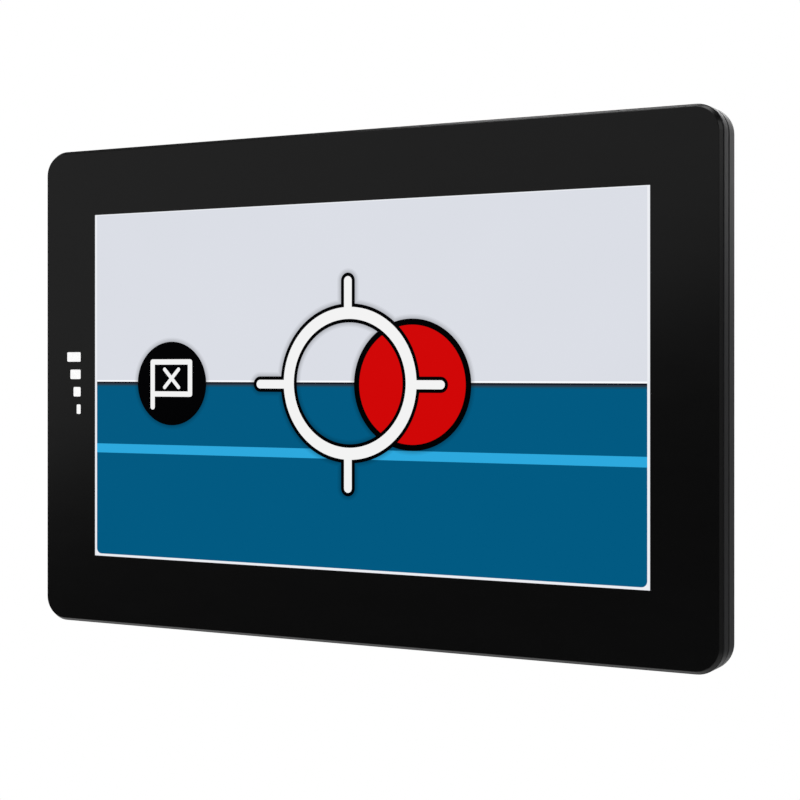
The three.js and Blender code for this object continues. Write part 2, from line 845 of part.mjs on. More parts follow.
function sunkRod(radius, length, top = 0) {
  const geometry = new THREE.CylinderGeometry(radius, radius, length, SMALL_ROUND_SIDES);
  return toSolid(geometry.rotateX(Math.PI / 2).translate(0, 0, top - length / 2));
}

function plugSocket({ width, height, length }) {
  const outline = { width, height, corner: height / 2 };
  const { wall, depth, tongue } = PLUG_SPACE;
  const can = pillar(outline, [-length, 0]).subtract(pillar(inset(outline, wall), [-depth, CUT]));
  return can.add(sunkBox({ ...tongue, length: tongue.length + CUT }, tongue.length - depth));
}

function slotSocket({ width, height, length, slot }) {
  const mouth = sunkBox({ ...slot, length: slot.length + CUT }, CUT);
  return sunkBox({ width, height, length }).subtract(mouth);
}

function audioJack() {
  const { radius, neck, bore, boreDepth, body } = AUDIO_JACK;
  const solid = sunkRod(radius, neck + CUT).add(sunkBox(body, -neck));
  return solid.subtract(sunkRod(bore, boreDepth + CUT, CUT));
}

// ---- Assembly ----

function piece(name, solid, material, position = [0, 0, 0], rotation = [0, 0, 0]) {
  const mesh = new THREE.Mesh(toGeometry(solid), material);
  mesh.name = name;
  mesh.position.set(...position);
  mesh.rotation.set(...rotation);
  return mesh;
}

function frontPieces() {
  const group = new THREE.Group();
  const lcdBack = LCD_FRONT + LCD.thickness;
  group.add(
    piece("cover_glass", coverGlass(), MATERIAL.coverGlass),
    piece("glass_adhesive", glassAdhesive(), MATERIAL.adhesive),
    piece("touch_sensor", touchSensor(), MATERIAL.sensorFilm),
    piece("lcd_panel", plate(LCD, LCD_FRONT, lcdBack), MATERIAL.screen),
    piece("backlight_unit", plate(BACKLIGHT, BACKLIGHT_FRONT, BACKLIGHT_BACK), MATERIAL.backlight),
    piece("front_frame", frontFrame(), MATERIAL.frame),
    piece("perimeter_seal", perimeterSeal(), MATERIAL.seal),
    piece("chassis_plate", chassisPlate(), MATERIAL.aluminium),
    piece("lcd_ribbon", ribbon(LCD_RIBBON), MATERIAL.ribbon),
    piece("touch_ribbon", ribbon(TOUCH_RIBBON), MATERIAL.ribbon),
  );
  return group;
}

function casePieces() {
  const group = new THREE.Group();
  group.add(
    piece("rear_shell", rearShell(), MATERIAL.shell),
    piece("pod_gasket", podGasket(), MATERIAL.seal),
    piece("pod_cover", podCover(), MATERIAL.shell),
  );
  const caseHead = yAt(LAYER.shell.back - CASE_SCREW.belowFace);
  CASE_SCREW.places.forEach(([x, z], i) => {
    group.add(piece(`case_screw_${i + 1}`, screw(CASE_SCREW), MATERIAL.screwSteel, [x, caseHead, z]));
  });
  const podHead = yAt(LAYER.pod.back - POD_SCREW.belowFace);
  POD_SCREW.places.forEach(([x, z], i) => {
    group.add(piece(`pod_screw_${i + 1}`, screw(POD_SCREW), MATERIAL.screwSteel, [x, podHead, z]));
  });
  insertPlaces().forEach(([x, z], i) => {
    const position = [x, -INSERT.belowFace, z];
    group.add(piece(`mount_insert_${i + 1}`, mountInsert(), MATERIAL.brass, position));
  });
  return group;
}

function buttonPieces() {
  const group = new THREE.Group();
  BUTTON.names.forEach((name, i) => {
    const x = buttonX(i);
    group.add(
      piece(`${name}_button`, buttonCap(x), MATERIAL.buttonCap),
      piece(`${name}_plunger`, switchPlunger(x), MATERIAL.plunger),
      piece(`${name}_switch`, switchHousing(x), MATERIAL.switchBody),
    );
  });
  group.add(
    piece("key_board", keyBoard(), MATERIAL.board),
    piece("key_ribbon", ribbon(KEY_RIBBON), MATERIAL.ribbon),
  );
  return group;
}

function detectorPieces() {
  const group = new THREE.Group();
  const conePlace = [SPEAKER.x, yAt(POD_FLOOR - LAYER_GAP - SPEAKER.cone.belowRim), SPEAKER.z];
  group.add(
    piece("main_board", mainBoard(), MATERIAL.board),
    piece("processor_shield", processorShield(), MATERIAL.tinned),
    piece("gnss_antenna", gnssAntenna(), MATERIAL.ceramic),
    piece("backup_cell", backupCell(), MATERIAL.steel),
    piece("radar_window", radarWindow(), MATERIAL.radarWindow),
    piece("radar_antenna", radarAntenna(), MATERIAL.antennaBoard),
    piece("radar_module", radarModule(), MATERIAL.tinned),
    piece("laser_lens", laserLens(), MATERIAL.laserLens),
    piece("laser_sensor", laserSensor(), MATERIAL.board),
    piece("speaker_basket", speakerBasket(), MATERIAL.steel),
    piece("speaker_cone", speakerCone(), MATERIAL.cone, conePlace),
  );
  return group;
}

function socketPieces() {
  const group = new THREE.Group();
  const mouthDown = [Math.PI, 0, 0];
  const mouthLeft = [0, -Math.PI / 2, 0];
  const bottom = -POD.height / 2;
  const bayFloor = -POD.width / 2 + DOOR.thickness + BAY.seal.thickness + 2 * SOCKET_CLEARANCE;
  const socketY = (height) => yAt(ON_BOARD + height / 2);
  const places = {
    power: [POWER_SOCKET.x, socketY(POWER_SOCKET.height), bottom + POWER_SOCKET.recess],
    jack: [AUDIO_JACK.x, socketY(AUDIO_JACK.body.height), bottom + AUDIO_JACK.recess],
    data: [bayFloor, socketY(DATA_SOCKET.height), DATA_SOCKET.z],
    card: [bayFloor, socketY(CARD_SOCKET.height), CARD_SOCKET.z],
  };
  group.add(
    piece("power_socket", plugSocket(POWER_SOCKET), MATERIAL.steel, places.power, mouthDown),
    piece("audio_jack", audioJack(), MATERIAL.socketPlastic, places.jack, mouthDown),
    piece("data_socket", plugSocket(DATA_SOCKET), MATERIAL.steel, places.data, mouthLeft),
    piece("card_socket", slotSocket(CARD_SOCKET), MATERIAL.steel, places.card, mouthLeft),
    piece("service_door", serviceDoor(), MATERIAL.shell),
    piece("service_door_pin", serviceDoorPin(), MATERIAL.steel),
    piece("service_door_seal", serviceDoorSeal(), MATERIAL.seal),
  );
  return group;
}

const group = new THREE.Group();
group.add(frontPieces(), casePieces(), buttonPieces(), detectorPieces(), socketPieces());

export default group;
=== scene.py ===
"""Looks of a seven-inch dash display with a radar and laser detector in the pod on its back.

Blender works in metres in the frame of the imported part: the screen faces -Y, +Z is up, and the origin
is the centre of the mounting pad's face. Sizes and places below are in millimetres; draw() turns them
into metres. Depths along Y come from the boxes of the CAD nodes that each piece stands for.
"""
import json
import math

import bmesh
import bpy
from mathutils import Matrix, Vector
from mathutils.geometry import delaunay_2d_cdt


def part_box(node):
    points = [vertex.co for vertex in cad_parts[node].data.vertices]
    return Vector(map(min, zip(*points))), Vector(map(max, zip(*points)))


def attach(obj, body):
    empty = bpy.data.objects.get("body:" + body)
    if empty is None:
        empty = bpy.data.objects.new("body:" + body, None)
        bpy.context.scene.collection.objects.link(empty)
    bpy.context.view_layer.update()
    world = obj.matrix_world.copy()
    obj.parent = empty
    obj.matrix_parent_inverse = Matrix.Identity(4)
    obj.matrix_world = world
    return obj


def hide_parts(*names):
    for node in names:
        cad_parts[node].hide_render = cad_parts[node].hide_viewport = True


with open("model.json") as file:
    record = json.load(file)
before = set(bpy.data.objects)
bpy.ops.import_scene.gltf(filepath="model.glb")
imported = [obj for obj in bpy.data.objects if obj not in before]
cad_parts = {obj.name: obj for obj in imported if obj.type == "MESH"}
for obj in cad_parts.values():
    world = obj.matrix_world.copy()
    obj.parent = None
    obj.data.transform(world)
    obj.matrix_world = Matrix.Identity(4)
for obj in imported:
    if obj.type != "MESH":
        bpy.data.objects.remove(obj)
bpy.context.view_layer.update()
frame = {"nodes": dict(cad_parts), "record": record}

MM = 0.001
WELD = 1e-7
SMOOTH_ANGLE = math.radians(32)
CORNER_STEPS = 12
ROUND_STEPS = 48
SMALL_STEPS = 24

# ---- Sizes that the CAD boxes don't give, in millimetres ----

# How far a cutter, or a solid to be joined on, reaches past the face it meets.
PAST = 1
CASE_CORNER = 6.3
CASE_WALL = 2.2
GLASS_EDGE = {"inset": 0.6, "depth": 0.98, "soft": 0.06}
FRAME_LIP = {"width": 0.7, "rise": 0.22}
SOFT_EDGE = 0.15
# A soft edge has a point between its two ends, at this share of its inset and its depth.
SOFT_MIDDLE = 0.3
LAYER_GAP = 0.05
SEAL_WIDTH = 1.4
SHELL = {"plate": 2.0, "round": 2.5, "opening": (120, 68, 6)}
POD = {"corner": 10, "wall": 2.2, "plate": 2.4, "round": 3.0}
POD_GASKET_WIDTH = 2.2
PAD = {"width": 52, "height": 44, "corner": 4, "rise": 1.5, "edge": 0.5}

CASE_SCREW = {"head": 2.2, "height": 1.45, "chamfer": 0.4, "shank": 1.1, "hole": 1.35}
CASE_RECESS = {"radius": 2.5, "depth": 1.7}
POD_SCREW = {"head": 2.6, "height": 1.8, "chamfer": 0.5, "shank": 1.45, "hole": 1.7, "boss": 3.6}
POD_RECESS = {"radius": 2.9, "depth": 2.25}
SCREW_TIP = {"radius_share": 0.6, "length": 0.5}
SCREW_SOFT_SHARE = 0.35
DRIVE = {"radius": 1.15, "depth": 0.9, "sides": 6, "flare": 0.1}
INSERT = {"bore": 1.65, "groove": (2.6, 3.8), "groove_radius": 2.5, "knurls": 32, "knurl_depth": 0.15}
INSERT_EDGE = {"outer": 0.2, "bore": 0.35}
INSERT_BOSS = {"radius": 4.6, "floor": 0.8, "socket": 3.05, "flare": 0.15}
BOARD_POST = {"radius": 2.2, "places": [(-28, 28), (50, 28), (-50, -30), (50, -30)]}

BUTTONS = {"volume_up": "plus", "volume_down": "minus", "mute": "dot", "power": "ring"}
BUTTON = {"cap": (12, 2, 1), "hole": (12.4, 2.4, 1.2), "hole_flare": 0.15, "flange": 0.9, "dome": 0.3}
BUTTON_SIGN = {"half": 0.62, "thick": 0.3, "dot": 0.42, "depth": 0.15, "paint_below": 0.03}

PANE_CLEARANCE = 0.25
PANES = {
    "radar_window": {"size": (36, 42, 4), "ledge": 2, "edge": 0.15},
    "laser_lens": {"size": (30, 13, 3), "ledge": 2, "edge": 0.5},
}
SPEAKER_SLOT = {"width": 26, "height": 1.8, "pitch": 4, "count": 6}
SPEAKER_CONE = {"tip": 0.4, "hub": 4, "fall": 1.6, "skin": 0.5, "ribs": 5, "rib_height": 0.08}
VENT = {"width": 1.6, "length": 6.8, "pitch": 5, "count": 11, "y": -9.5}
SOCKET = {"clearance": 0.25, "wall": 0.35, "edge": 0.1, "depth": 6.4}
TONGUE = {"width": 6.6, "height": 0.7, "length": 5.0, "corner": 0.15, "root": 0.5}
JACK = {"radius": 2.75, "neck": 3, "overlap": 0.5, "corner": 0.3, "bore": 1.8, "bore_depth": 10, "flare": 0.3}
JACK_CORE = {"radius": 1.0, "end": 0.2}
CARD_SLOT = {"size": (9.6, 0.9, 0.2), "length": 7, "corner": 0.2, "flare": 0.1}
DOOR = {"leaf": 1.0, "soft": 0.25, "edge": 0.1, "knuckle": 1.0, "bore": 0.65, "gap": 0.2, "back_gap": 1.6}
GROOVE = {"count": 3, "first": 1.0, "pitch": 0.9, "width": 0.4, "depth": 0.25, "half": 5}
PIN_EDGE = 0.15
BAY = {"z": 11, "trough": 2.8, "trough_floor": 2.2, "seat": 1.1, "inward": 4.6, "block_z": 16.5}
POCKET = {"front": 1.0, "back": 1.1}

# ---- Outlines: lists of (u, v), anticlockwise ----


def rounded(width, height, corner, u=0.0, v=0.0, steps=CORNER_STEPS):
    points = []
    for quarter, (su, sv) in enumerate([(1, 1), (-1, 1), (-1, -1), (1, -1)]):
        cu = u + su * (width / 2 - corner)
        cv = v + sv * (height / 2 - corner)
        for step in range(steps + 1):
            angle = math.pi / 2 * (quarter + step / steps)
            points.append((cu + corner * math.cos(angle), cv + corner * math.sin(angle)))
    return points


def rectangle(left, right, low, high):
    return [(left, low), (right, low), (right, high), (left, high)]


def circle(radius, u=0.0, v=0.0, steps=ROUND_STEPS):
    turn = 2 * math.pi / steps
    return [(u + radius * math.cos(turn * i), v + radius * math.sin(turn * i)) for i in range(steps)]


def arc(u, v, radius, start, sweep, steps):
    angles = [start + sweep * step / steps for step in range(steps + 1)]
    return [(u + radius * math.cos(angle), v + radius * math.sin(angle)) for angle in angles]


def capsule(start, end, radius, steps=12):
    """A bar with round ends between two points."""
    heading = math.atan2(end[1] - start[1], end[0] - start[0])
    far = arc(*end, radius, heading - math.pi / 2, math.pi, steps)
    return far + arc(*start, radius, heading + math.pi / 2, math.pi, steps)


def grown(size, u=0.0, v=0.0, steps=8):
    """The outline of a rounded rectangle as a function of how far it is grown."""
    width, height, corner = size
    return lambda extra: rounded(width + 2 * extra, height + 2 * extra, corner + extra, u, v, steps)


def grown_circle(radius, u=0.0, v=0.0, steps=ROUND_STEPS):
    return lambda extra: circle(radius + extra, u, v, steps)


# ---- Ways to place an outline (u, v) at a level w, in millimetres ----


def backwards(u, v, w):
    """Drawn in X and Z, with the level along Y."""
    return (u, w, v)


def upwards(u, v, w):
    """Drawn in X and Y, with the level along Z."""
    return (u, v, w)


def mouth_down(x, y, z):
    """A socket drawn below its mouth, with the mouth at (x, y, z) facing -Z."""
    return lambda u, v, w: (x + u, y - v, z - w)


def mouth_left(x, y, z):
    """A socket drawn below its mouth, with the mouth at (x, y, z) facing -X."""
    return lambda u, v, w: (x - w, y + v, z + u)


# ---- Meshes ----


def draw(bm, outline, level, way):
    return [bm.verts.new([c * MM for c in way(u, v, level)]) for u, v in outline]


def bridge(bm, ring, following):
    count = len(ring)
    for i in range(count):
        j = (i + 1) % count
        bm.faces.new((ring[i], ring[j], following[j], following[i]))


def loft(bm, sections, way=backwards, closed=False):
    """A closed solid through (outline, level) pairs: capped at both ends, or joined in a loop."""
    rings = [draw(bm, outline, level, way) for outline, level in sections]
    for ring, following in zip(rings, rings[1:]):
        bridge(bm, ring, following)
    if closed:
        bridge(bm, rings[-1], rings[0])
    else:
        bm.faces.new(rings[0][::-1])
        bm.faces.new(rings[-1])


def slab(bm, outline, low, high, way=backwards):
    loft(bm, [(outline, low), (outline, high)], way)


def slabs(*parts, way=backwards):
    """A mesh of several plain extrusions: (outline, low, high)."""
    bm = bmesh.new()
    for outline, low, high in parts:
        slab(bm, outline, low, high, way)
    return bm


def recess(bm, outline_at, floor, face, flare=0.2, way=backwards):
    """A cutter from floor to face that breaks the edge at the face with a small chamfer."""
    outwards = 1 if face > floor else -1
    levels = [(0, floor), (0, face - outwards * flare), (flare, face), (2 * flare, face + outwards * flare)]
    loft(bm, [(outline_at(extra), level) for extra, level in levels], way)


def new_object(name, bm):
    bmesh.ops.dissolve_degenerate(bm, dist=WELD, edges=bm.edges)
    bmesh.ops.recalc_face_normals(bm, faces=bm.faces)
    mesh = bpy.data.meshes.new(name)
    bm.to_mesh(mesh)
    bm.free()
    obj = bpy.data.objects.new(name, mesh)
    bpy.context.scene.collection.objects.link(obj)
    return obj


def lofted(name, sections, way=backwards, closed=False):
    bm = bmesh.new()
    loft(bm, sections, way, closed)
    return new_object(name, bm)


def combine(obj, bm, operation):
    """Cuts away, or joins on, the solids in bm, which may overlap each other."""
    tool = new_object("tool", bm)
    modifier = obj.modifiers.new("combine", "BOOLEAN")
    modifier.operation = operation
    modifier.solver = "EXACT"
    modifier.use_self = True
    modifier.object = tool
    bpy.context.view_layer.update()
    graph = bpy.context.evaluated_depsgraph_get()
    mesh = bpy.data.meshes.new_from_object(obj.evaluated_get(graph))
    obj.modifiers.clear()
    obj.data = mesh
    bpy.data.objects.remove(tool)


def sink(obj, *recess_settings):
    """Cuts one recess into a piece."""
    cut = bmesh.new()
    recess(cut, *recess_settings)
    combine(obj, cut, "DIFFERENCE")


def dress(obj, node, slot, body="housing", materials=()):
    """Materials, smooth shading, and the CAD node that this piece stands for."""
    mesh = obj.data
    for material in materials or [LOOKS[slot]]:
        mesh.materials.append(material)
    mesh.polygons.foreach_set("use_smooth", [True] * len(mesh.polygons))
    mesh.set_sharp_from_angle(angle=SMOOTH_ANGLE)
    weighted = obj.modifiers.new("weighted_normals", "WEIGHTED_NORMAL")
    weighted.keep_sharp = True
    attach(obj, body)
    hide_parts(node)


class Extent:
    """The box of a CAD node in millimetres."""

    def __init__(self, node):
        low, high = (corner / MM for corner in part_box(node))
        self.node = node
        self.x = (low.x + high.x) / 2
        self.z = (low.z + high.z) / 2
        self.y = (low.y + high.y) / 2
        self.width = high.x - low.x
        self.height = high.z - low.z
        self.left, self.front, self.bottom = low
        _, self.back, self.top = high


def extents(prefix):
    return [Extent(node) for node in sorted(frame["nodes"]) if node.startswith(prefix)]


# ---- Materials ----


def from_srgb(levels):
    shares = [level / 255 for level in levels]
    return [share / 12.92 if share <= 0.04045 else ((share + 0.055) / 1.055) ** 2.4 for share in shares]


class Material:
    """A Principled material with shorthands for noise-driven detail; detail sizes are in millimetres."""

    def __init__(self, name, color, roughness, metallic=0.0):
        self.material = bpy.data.materials.new(name)
        self.material.use_nodes = True
        self.tree = self.material.node_tree
        self.shader = self.tree.nodes["Principled BSDF"]
        self.setting("Base Color", (*color, 1.0))
        self.setting("Roughness", roughness)
        self.setting("Metallic", metallic)
        self.color = color
        self.roughness = roughness
        self.coordinates = self.tree.nodes.new("ShaderNodeTexCoord").outputs["Object"]

    def feed(self, socket, value):
        """Sets an input to a value, or links another node's output to it."""
        if isinstance(value, bpy.types.NodeSocket):
            self.tree.links.new(value, socket)
        else:
            socket.default_value = value

    def setting(self, name, value):
        self.feed(self.shader.inputs[name], value)
        return self

    def node(self, kind, inputs, **settings):
        node = self.tree.nodes.new("ShaderNode" + kind)
        for name, value in settings.items():
            setattr(node, name, value)
        for name, value in inputs.items():
            self.feed(node.inputs[name], value)
        return node

    def stretched(self, stretch=(1, 1, 1), turn=(0, 0, 0)):
        inputs = {"Scale": stretch, "Rotation": turn, "Vector": self.coordinates}
        return self.node("Mapping", inputs).outputs["Vector"]

    def noise(self, size, detail=3.0, stretch=(1, 1, 1)):
        inputs = {"Scale": 1 / (size * MM), "Detail": detail, "Vector": self.stretched(stretch)}
        return self.node("TexNoise", inputs).outputs["Fac"]

    def waves(self, size, turn=(0, 0, 0)):
        inputs = {"Scale": 1 / (size * MM), "Vector": self.stretched(turn=turn)}
        return self.node("TexWave", inputs).outputs["Fac"]

    def bricks(self, size, mortar, colors):
        """Blocks of two colours, parted by thin lines of a third, in the X-Z plane."""
        inputs = {"Scale": 1 / (size * MM), "Mortar Size": mortar}
        inputs["Vector"] = self.stretched(turn=(-math.pi / 2, 0, 0))
        for name, color in zip(("Color1", "Color2", "Mortar"), colors):
            inputs[name] = (*color, 1.0)
        return self.node("TexBrick", inputs)

    def ranged(self, value, low, high):
        inputs = {"Value": value, "From Min": 0.3, "From Max": 0.7, "To Min": low, "To Max": high}
        return self.node("MapRange", inputs).outputs["Result"]

    def blend(self, factor, first, second):
        inputs = {"Factor": factor, "A": first, "B": second}
        return self.node("Mix", inputs, data_type="RGBA").outputs["Result"]

    def vary_roughness(self, value, spread):
        return self.setting("Roughness", self.ranged(value, self.roughness - spread, self.roughness + spread))

    def vary_color(self, value, low, high, socket="Base Color"):
        """The colour moves between low and high times itself."""
        ends = [(*[c * share for c in self.color], 1.0) for share in (low, high)]
        return self.setting(socket, self.blend(self.ranged(value, 0.0, 1.0), *ends))

    def bump(self, value, height):
        node = self.node("Bump", {"Distance": height * MM, "Height": value})
        return self.setting("Normal", node.outputs["Normal"])

    def tint(self, low, high, size, detail=3.0):
        return self.vary_color(self.noise(size, detail), low, high)

    def gloss(self, spread, size, detail=3.0, stretch=(1, 1, 1)):
        return self.vary_roughness(self.noise(size, detail, stretch), spread)

    def grain(self, height, size, detail=3.0):
        return self.bump(self.noise(size, detail), height)

    def streaks(self, low, high, size, turn=(0, 0, 0)):
        return self.vary_color(self.waves(size, turn), low, high)

    def specular(self, level):
        return self.setting("Specular IOR Level", level)


def glass_materials():
    """The ground edge, the black print with a soft sheen and faint wipe marks, and the white print, which has
    a painted glow from its emission.
    """
    edge = Material("ground_glass_edge", (0.002, 0.002, 0.002), 0.26).specular(0.25).gloss(0.015, 9)
    black = Material("printed_glass", (0.0005, 0.0005, 0.0006), 0.2).gloss(0.012, 14, 4, (1, 1, 2.6))
    # The white print is given emission: a painted glow, since the print on the border is no lamp.
    white = Material("white_print", (0.80, 0.80, 0.80), 0.35).setting("Emission Strength", 0.85)
    white.vary_color(white.noise(1.2), 0.97, 1.03, "Emission Color").tint(0.97, 1.03, 1.2).specular(0.2)
    return [edge.material, black.material, white.material]


def white_paint():
    return Material("white_paint", (0.62, 0.62, 0.61), 0.6).tint(0.92, 1.05, 0.4).grain(0.004, 0.15).material


def lit_picture(name, color):
    """One colour of the lit picture, with the faint unevenness of a backlight."""
    made = Material(name, color, 0.22).specular(0.03).setting("Emission Strength", 1.0)
    made.setting("Base Color", (0.0, 0.0, 0.0, 1.0))
    return made.vary_color(made.noise(22, 1), 0.996, 1.004, "Emission Color")


def textured_plastic(name, color, roughness, grain=0.22, height=0.008):
    made = Material(name, color, roughness)
    return made.tint(0.96, 1.04, 18).gloss(0.015, 6, 4).grain(height, grain, 2)


def turned_metal(name, color, roughness):
    return Material(name, color, roughness, 1.0).gloss(0.08, 0.5, 4).tint(0.9, 1.08, 2.5).grain(0.004, 0.25)


def rolled_sheet(name, color, roughness):
    return Material(name, color, roughness, 1.0).gloss(0.08, 1.0, 5, (0.08, 1, 1)).tint(0.93, 1.05, 12)


def circuit_board(name, mask, copper):
    """Solder mask over tracks, which show as raised, lighter lines."""
    made = Material(name, mask, 0.38)
    tracks = made.bricks(3, 0.06, (mask, [c * 0.8 for c in mask], copper))
    return made.setting("Base Color", tracks.outputs["Color"]).bump(tracks.outputs["Fac"], 0.03)


def antenna_board():
    """Blue mask, with the raised patches in bare copper: patches are told by how far back they stand."""
    mask, copper = (0.012, 0.025, 0.06), (0.72, 0.36, 0.18)
    made = Material("antenna_board", mask, 0.4)
    face = Extent("radar_antenna").back - LAYER_GAP
    depth = made.node("SeparateXYZ", {"Vector": made.coordinates}).outputs["Y"]
    behind = made.node("Math", {0: depth, 1: face * MM}, operation="GREATER_THAN").outputs["Value"]
    tint = made.bricks(2.4, 0.03, (mask, [c * 0.85 for c in mask], [c * 1.6 for c in mask]))
    color = made.blend(behind, tint.outputs["Color"], (*copper, 1.0))
    return made.setting("Base Color", color).setting("Metallic", behind)


def infrared_lens():
    made = Material("infrared_lens", (0.045, 0.002, 0.003), 0.08).streaks(0.6, 1.5, 6)
    return made.setting("Coat Weight", 0.6).setting("Coat Roughness", 0.03)


def all_looks():
    """A material for each slot of the record; the printed glass has its own list."""
    anodised = Material("black_anodised", (0.034, 0.034, 0.036), 0.4, 0.25)
    silicone = Material("silicone", (0.005, 0.005, 0.005), 0.85)
    window = Material("radio_window", (0.010, 0.010, 0.011), 0.32)
    paper = Material("coated_paper", (0.014, 0.014, 0.015), 0.85)
    ceramic = Material("fired_ceramic", (0.52, 0.48, 0.38), 0.5)
    made = {
        "adhesive": textured_plastic("foam_tape", (0.010, 0.010, 0.010), 0.85, 0.5, 0.03),
        "sensor_film": Material("touch_film", (0.05, 0.06, 0.06), 0.2).streaks(0.9, 1.1, 5, (0, 0.8, 0)),
        "screen": lit_picture("lit_panel", (0.02, 0.10, 0.16)),
        "backlight": Material("white_tray", (0.6, 0.61, 0.62), 0.5).tint(0.95, 1.04, 8).grain(0.006, 0.4),
        "frame": anodised.tint(0.94, 1.06, 9).gloss(0.04, 1.5, 3, (1, 6, 1)).grain(0.003, 0.12, 2),
        "seal": silicone.specular(0.2).grain(0.012, 0.35).tint(0.85, 1.15, 4),
        "shell": textured_plastic("shell_plastic", (0.043, 0.043, 0.044), 0.38).specular(0.85),
        "aluminium": rolled_sheet("aluminium_sheet", (0.55, 0.56, 0.57), 0.4),
        "brass": turned_metal("turned_brass", (0.62, 0.42, 0.15), 0.3),
        "screw_steel": turned_metal("black_zinc", (0.055, 0.055, 0.058), 0.38),
        "circuit_board": circuit_board("green_board", (0.010, 0.060, 0.030), (0.06, 0.15, 0.05)),
        "tinned_steel": rolled_sheet("tinned_sheet", (0.52, 0.53, 0.55), 0.32),
        "ceramic": ceramic.tint(0.85, 1.1, 0.6, 5).grain(0.01, 0.3),
        "steel": turned_metal("nickel_plate", (0.42, 0.42, 0.44), 0.3),
        "antenna_board": antenna_board(),
        "radar_window": window.tint(0.95, 1.05, 18).gloss(0.01, 9).grain(0.002, 0.5, 2),
        "laser_lens": infrared_lens(),
        "button_cap": textured_plastic("button_plastic", (0.022, 0.022, 0.023), 0.45, 0.15, 0.004),
        "switch_body": textured_plastic("switch_nylon", (0.012, 0.012, 0.012), 0.6),
        "plunger": textured_plastic("acetal", (0.55, 0.55, 0.52), 0.5),
        "socket_plastic": textured_plastic("socket_nylon", (0.010, 0.010, 0.010), 0.5),
        "speaker_cone": paper.grain(0.03, 0.5, 6).tint(0.7, 1.3, 1),
        "ribbon": Material("amber_film", (0.30, 0.12, 0.012), 0.35).streaks(0.7, 1.3, 4),
    }
    return {slot: look.material for slot, look in made.items()}


LOOKS = all_looks()

# ---- Screen picture: millimetres from the centre of the screen ----

SCREEN = {"width": 153.36, "height": 89.4, "right_of_middle": 0.12, "above_middle": 0.26}
MARGIN = {"side": 0.65, "top": 0.25, "bottom": 0.6, "corner": 1.4}
HORIZON = {"v": 0.95, "light": 0.42}
# Below the horizon: colour and how far down it reaches.
HORIZON_LINES = [("line_faint", 1.2), ("line_soft", 0.82), ("line", 0.42)]
BAND = (-17.6, -15.25)
# The sight is a ring with four ticks; both have a black edge.
SIGHT_EDGE = 0.85
RING = {"u": 0.165, "v": 0.73, "outer": 18.48, "inner": 15.57}
TICK = {"u": -0.08, "v": 0.46, "from": 17.0, "reach": 26.2, "radius": 1.075}
DISC = {"u": 17.31, "v": 0.45, "radius": 14.24, "edge": 1.45}
ICON = {"u": -52.1, "v": 0.52, "radius": 10.7}
FLAG = {"left": -58.75, "right": -45.72, "bottom": -2.85, "top": 6.72, "stroke": 1.36, "pole": -6.2}
CROSS = {"left": -54.3, "right": -49.95, "bottom": -0.45, "top": 4.15, "stroke": 0.98}
# The soft shade around the sight and the disc: how far it reaches, and what it leaves of the colour.
SHADES = [(1.05, 0.96), (0.7, 0.9), (0.35, 0.84)]
SIGNAL_BARS = {"u": -83.7, "v": 0.55, "lengths": (1.3, 2.35, 3.4, 4.45), "pitch": 4.6}
SIGNAL_BAR = {"thick": 2.5, "corner": 0.3}
PICTURE_STEPS = 96

PICTURE_COLORS = {
    "sky": (219, 222, 230),
    "sea": (1, 90, 130),
    "band": (45, 169, 222),
    "red": (208, 6, 6),
    "white": (243, 243, 243),
    "pale": (236, 238, 243),
    "bright": (251, 252, 255),
    "black": (1, 1, 2),
    "line": (20, 24, 34),
    "line_soft": (42, 58, 72),
    "line_faint": (20, 80, 108),
}


def sea_outline(left, right):
    corner = MARGIN["corner"]
    low = -SCREEN["height"] / 2 + MARGIN["bottom"] + corner
    points = [(right, HORIZON["v"]), (left, HORIZON["v"])]
    points += arc(left + corner, low, corner, math.pi, math.pi / 2, 8)
    return points + arc(right - corner, low, corner, 1.5 * math.pi, math.pi / 2, 8)


def backdrop_layers():
    half_width, half_height = SCREEN["width"] / 2, SCREEN["height"] / 2
    left, right = MARGIN["side"] - half_width, half_width - MARGIN["side"]
    horizon = HORIZON["v"]
    layers = [
        ("pale", [rectangle(-half_width, half_width, -half_height, half_height)]),
        ("sky", [rectangle(left, right, horizon, half_height - MARGIN["top"])]),
        ("bright", [rectangle(left, right, horizon, horizon + HORIZON["light"])]),
        ("sea", [sea_outline(left, right)]),
        ("band", [rectangle(left, right, *BAND)]),
    ]
    for name, drop in HORIZON_LINES:
        layers.append((name, [rectangle(left, right, horizon - drop, horizon)]))
    return layers


def disc_outlines(shape, extra):
    return [circle(shape["radius"] + extra, shape["u"], shape["v"], PICTURE_STEPS)]


def ring_outlines(extra):
    radii = (RING["outer"] + extra, RING["inner"] - extra)
    return [circle(radius, RING["u"], RING["v"], PICTURE_STEPS) for radius in radii]


def tick_outlines(extra):
    u, v, radius = TICK["u"], TICK["v"], TICK["radius"]
    near, far = TICK["from"], TICK["reach"] - radius
    outlines = []
    for du, dv in ((1, 0), (0, 1), (-1, 0), (0, -1)):
        start, end = (u + du * near, v + dv * near), (u + du * far, v + dv * far)
        outlines.append(capsule(start, end, radius + extra))
    return outlines


def sight_layers(paint, extra):
    return [(paint, ring_outlines(extra))] + [(paint, [outline]) for outline in tick_outlines(extra)]


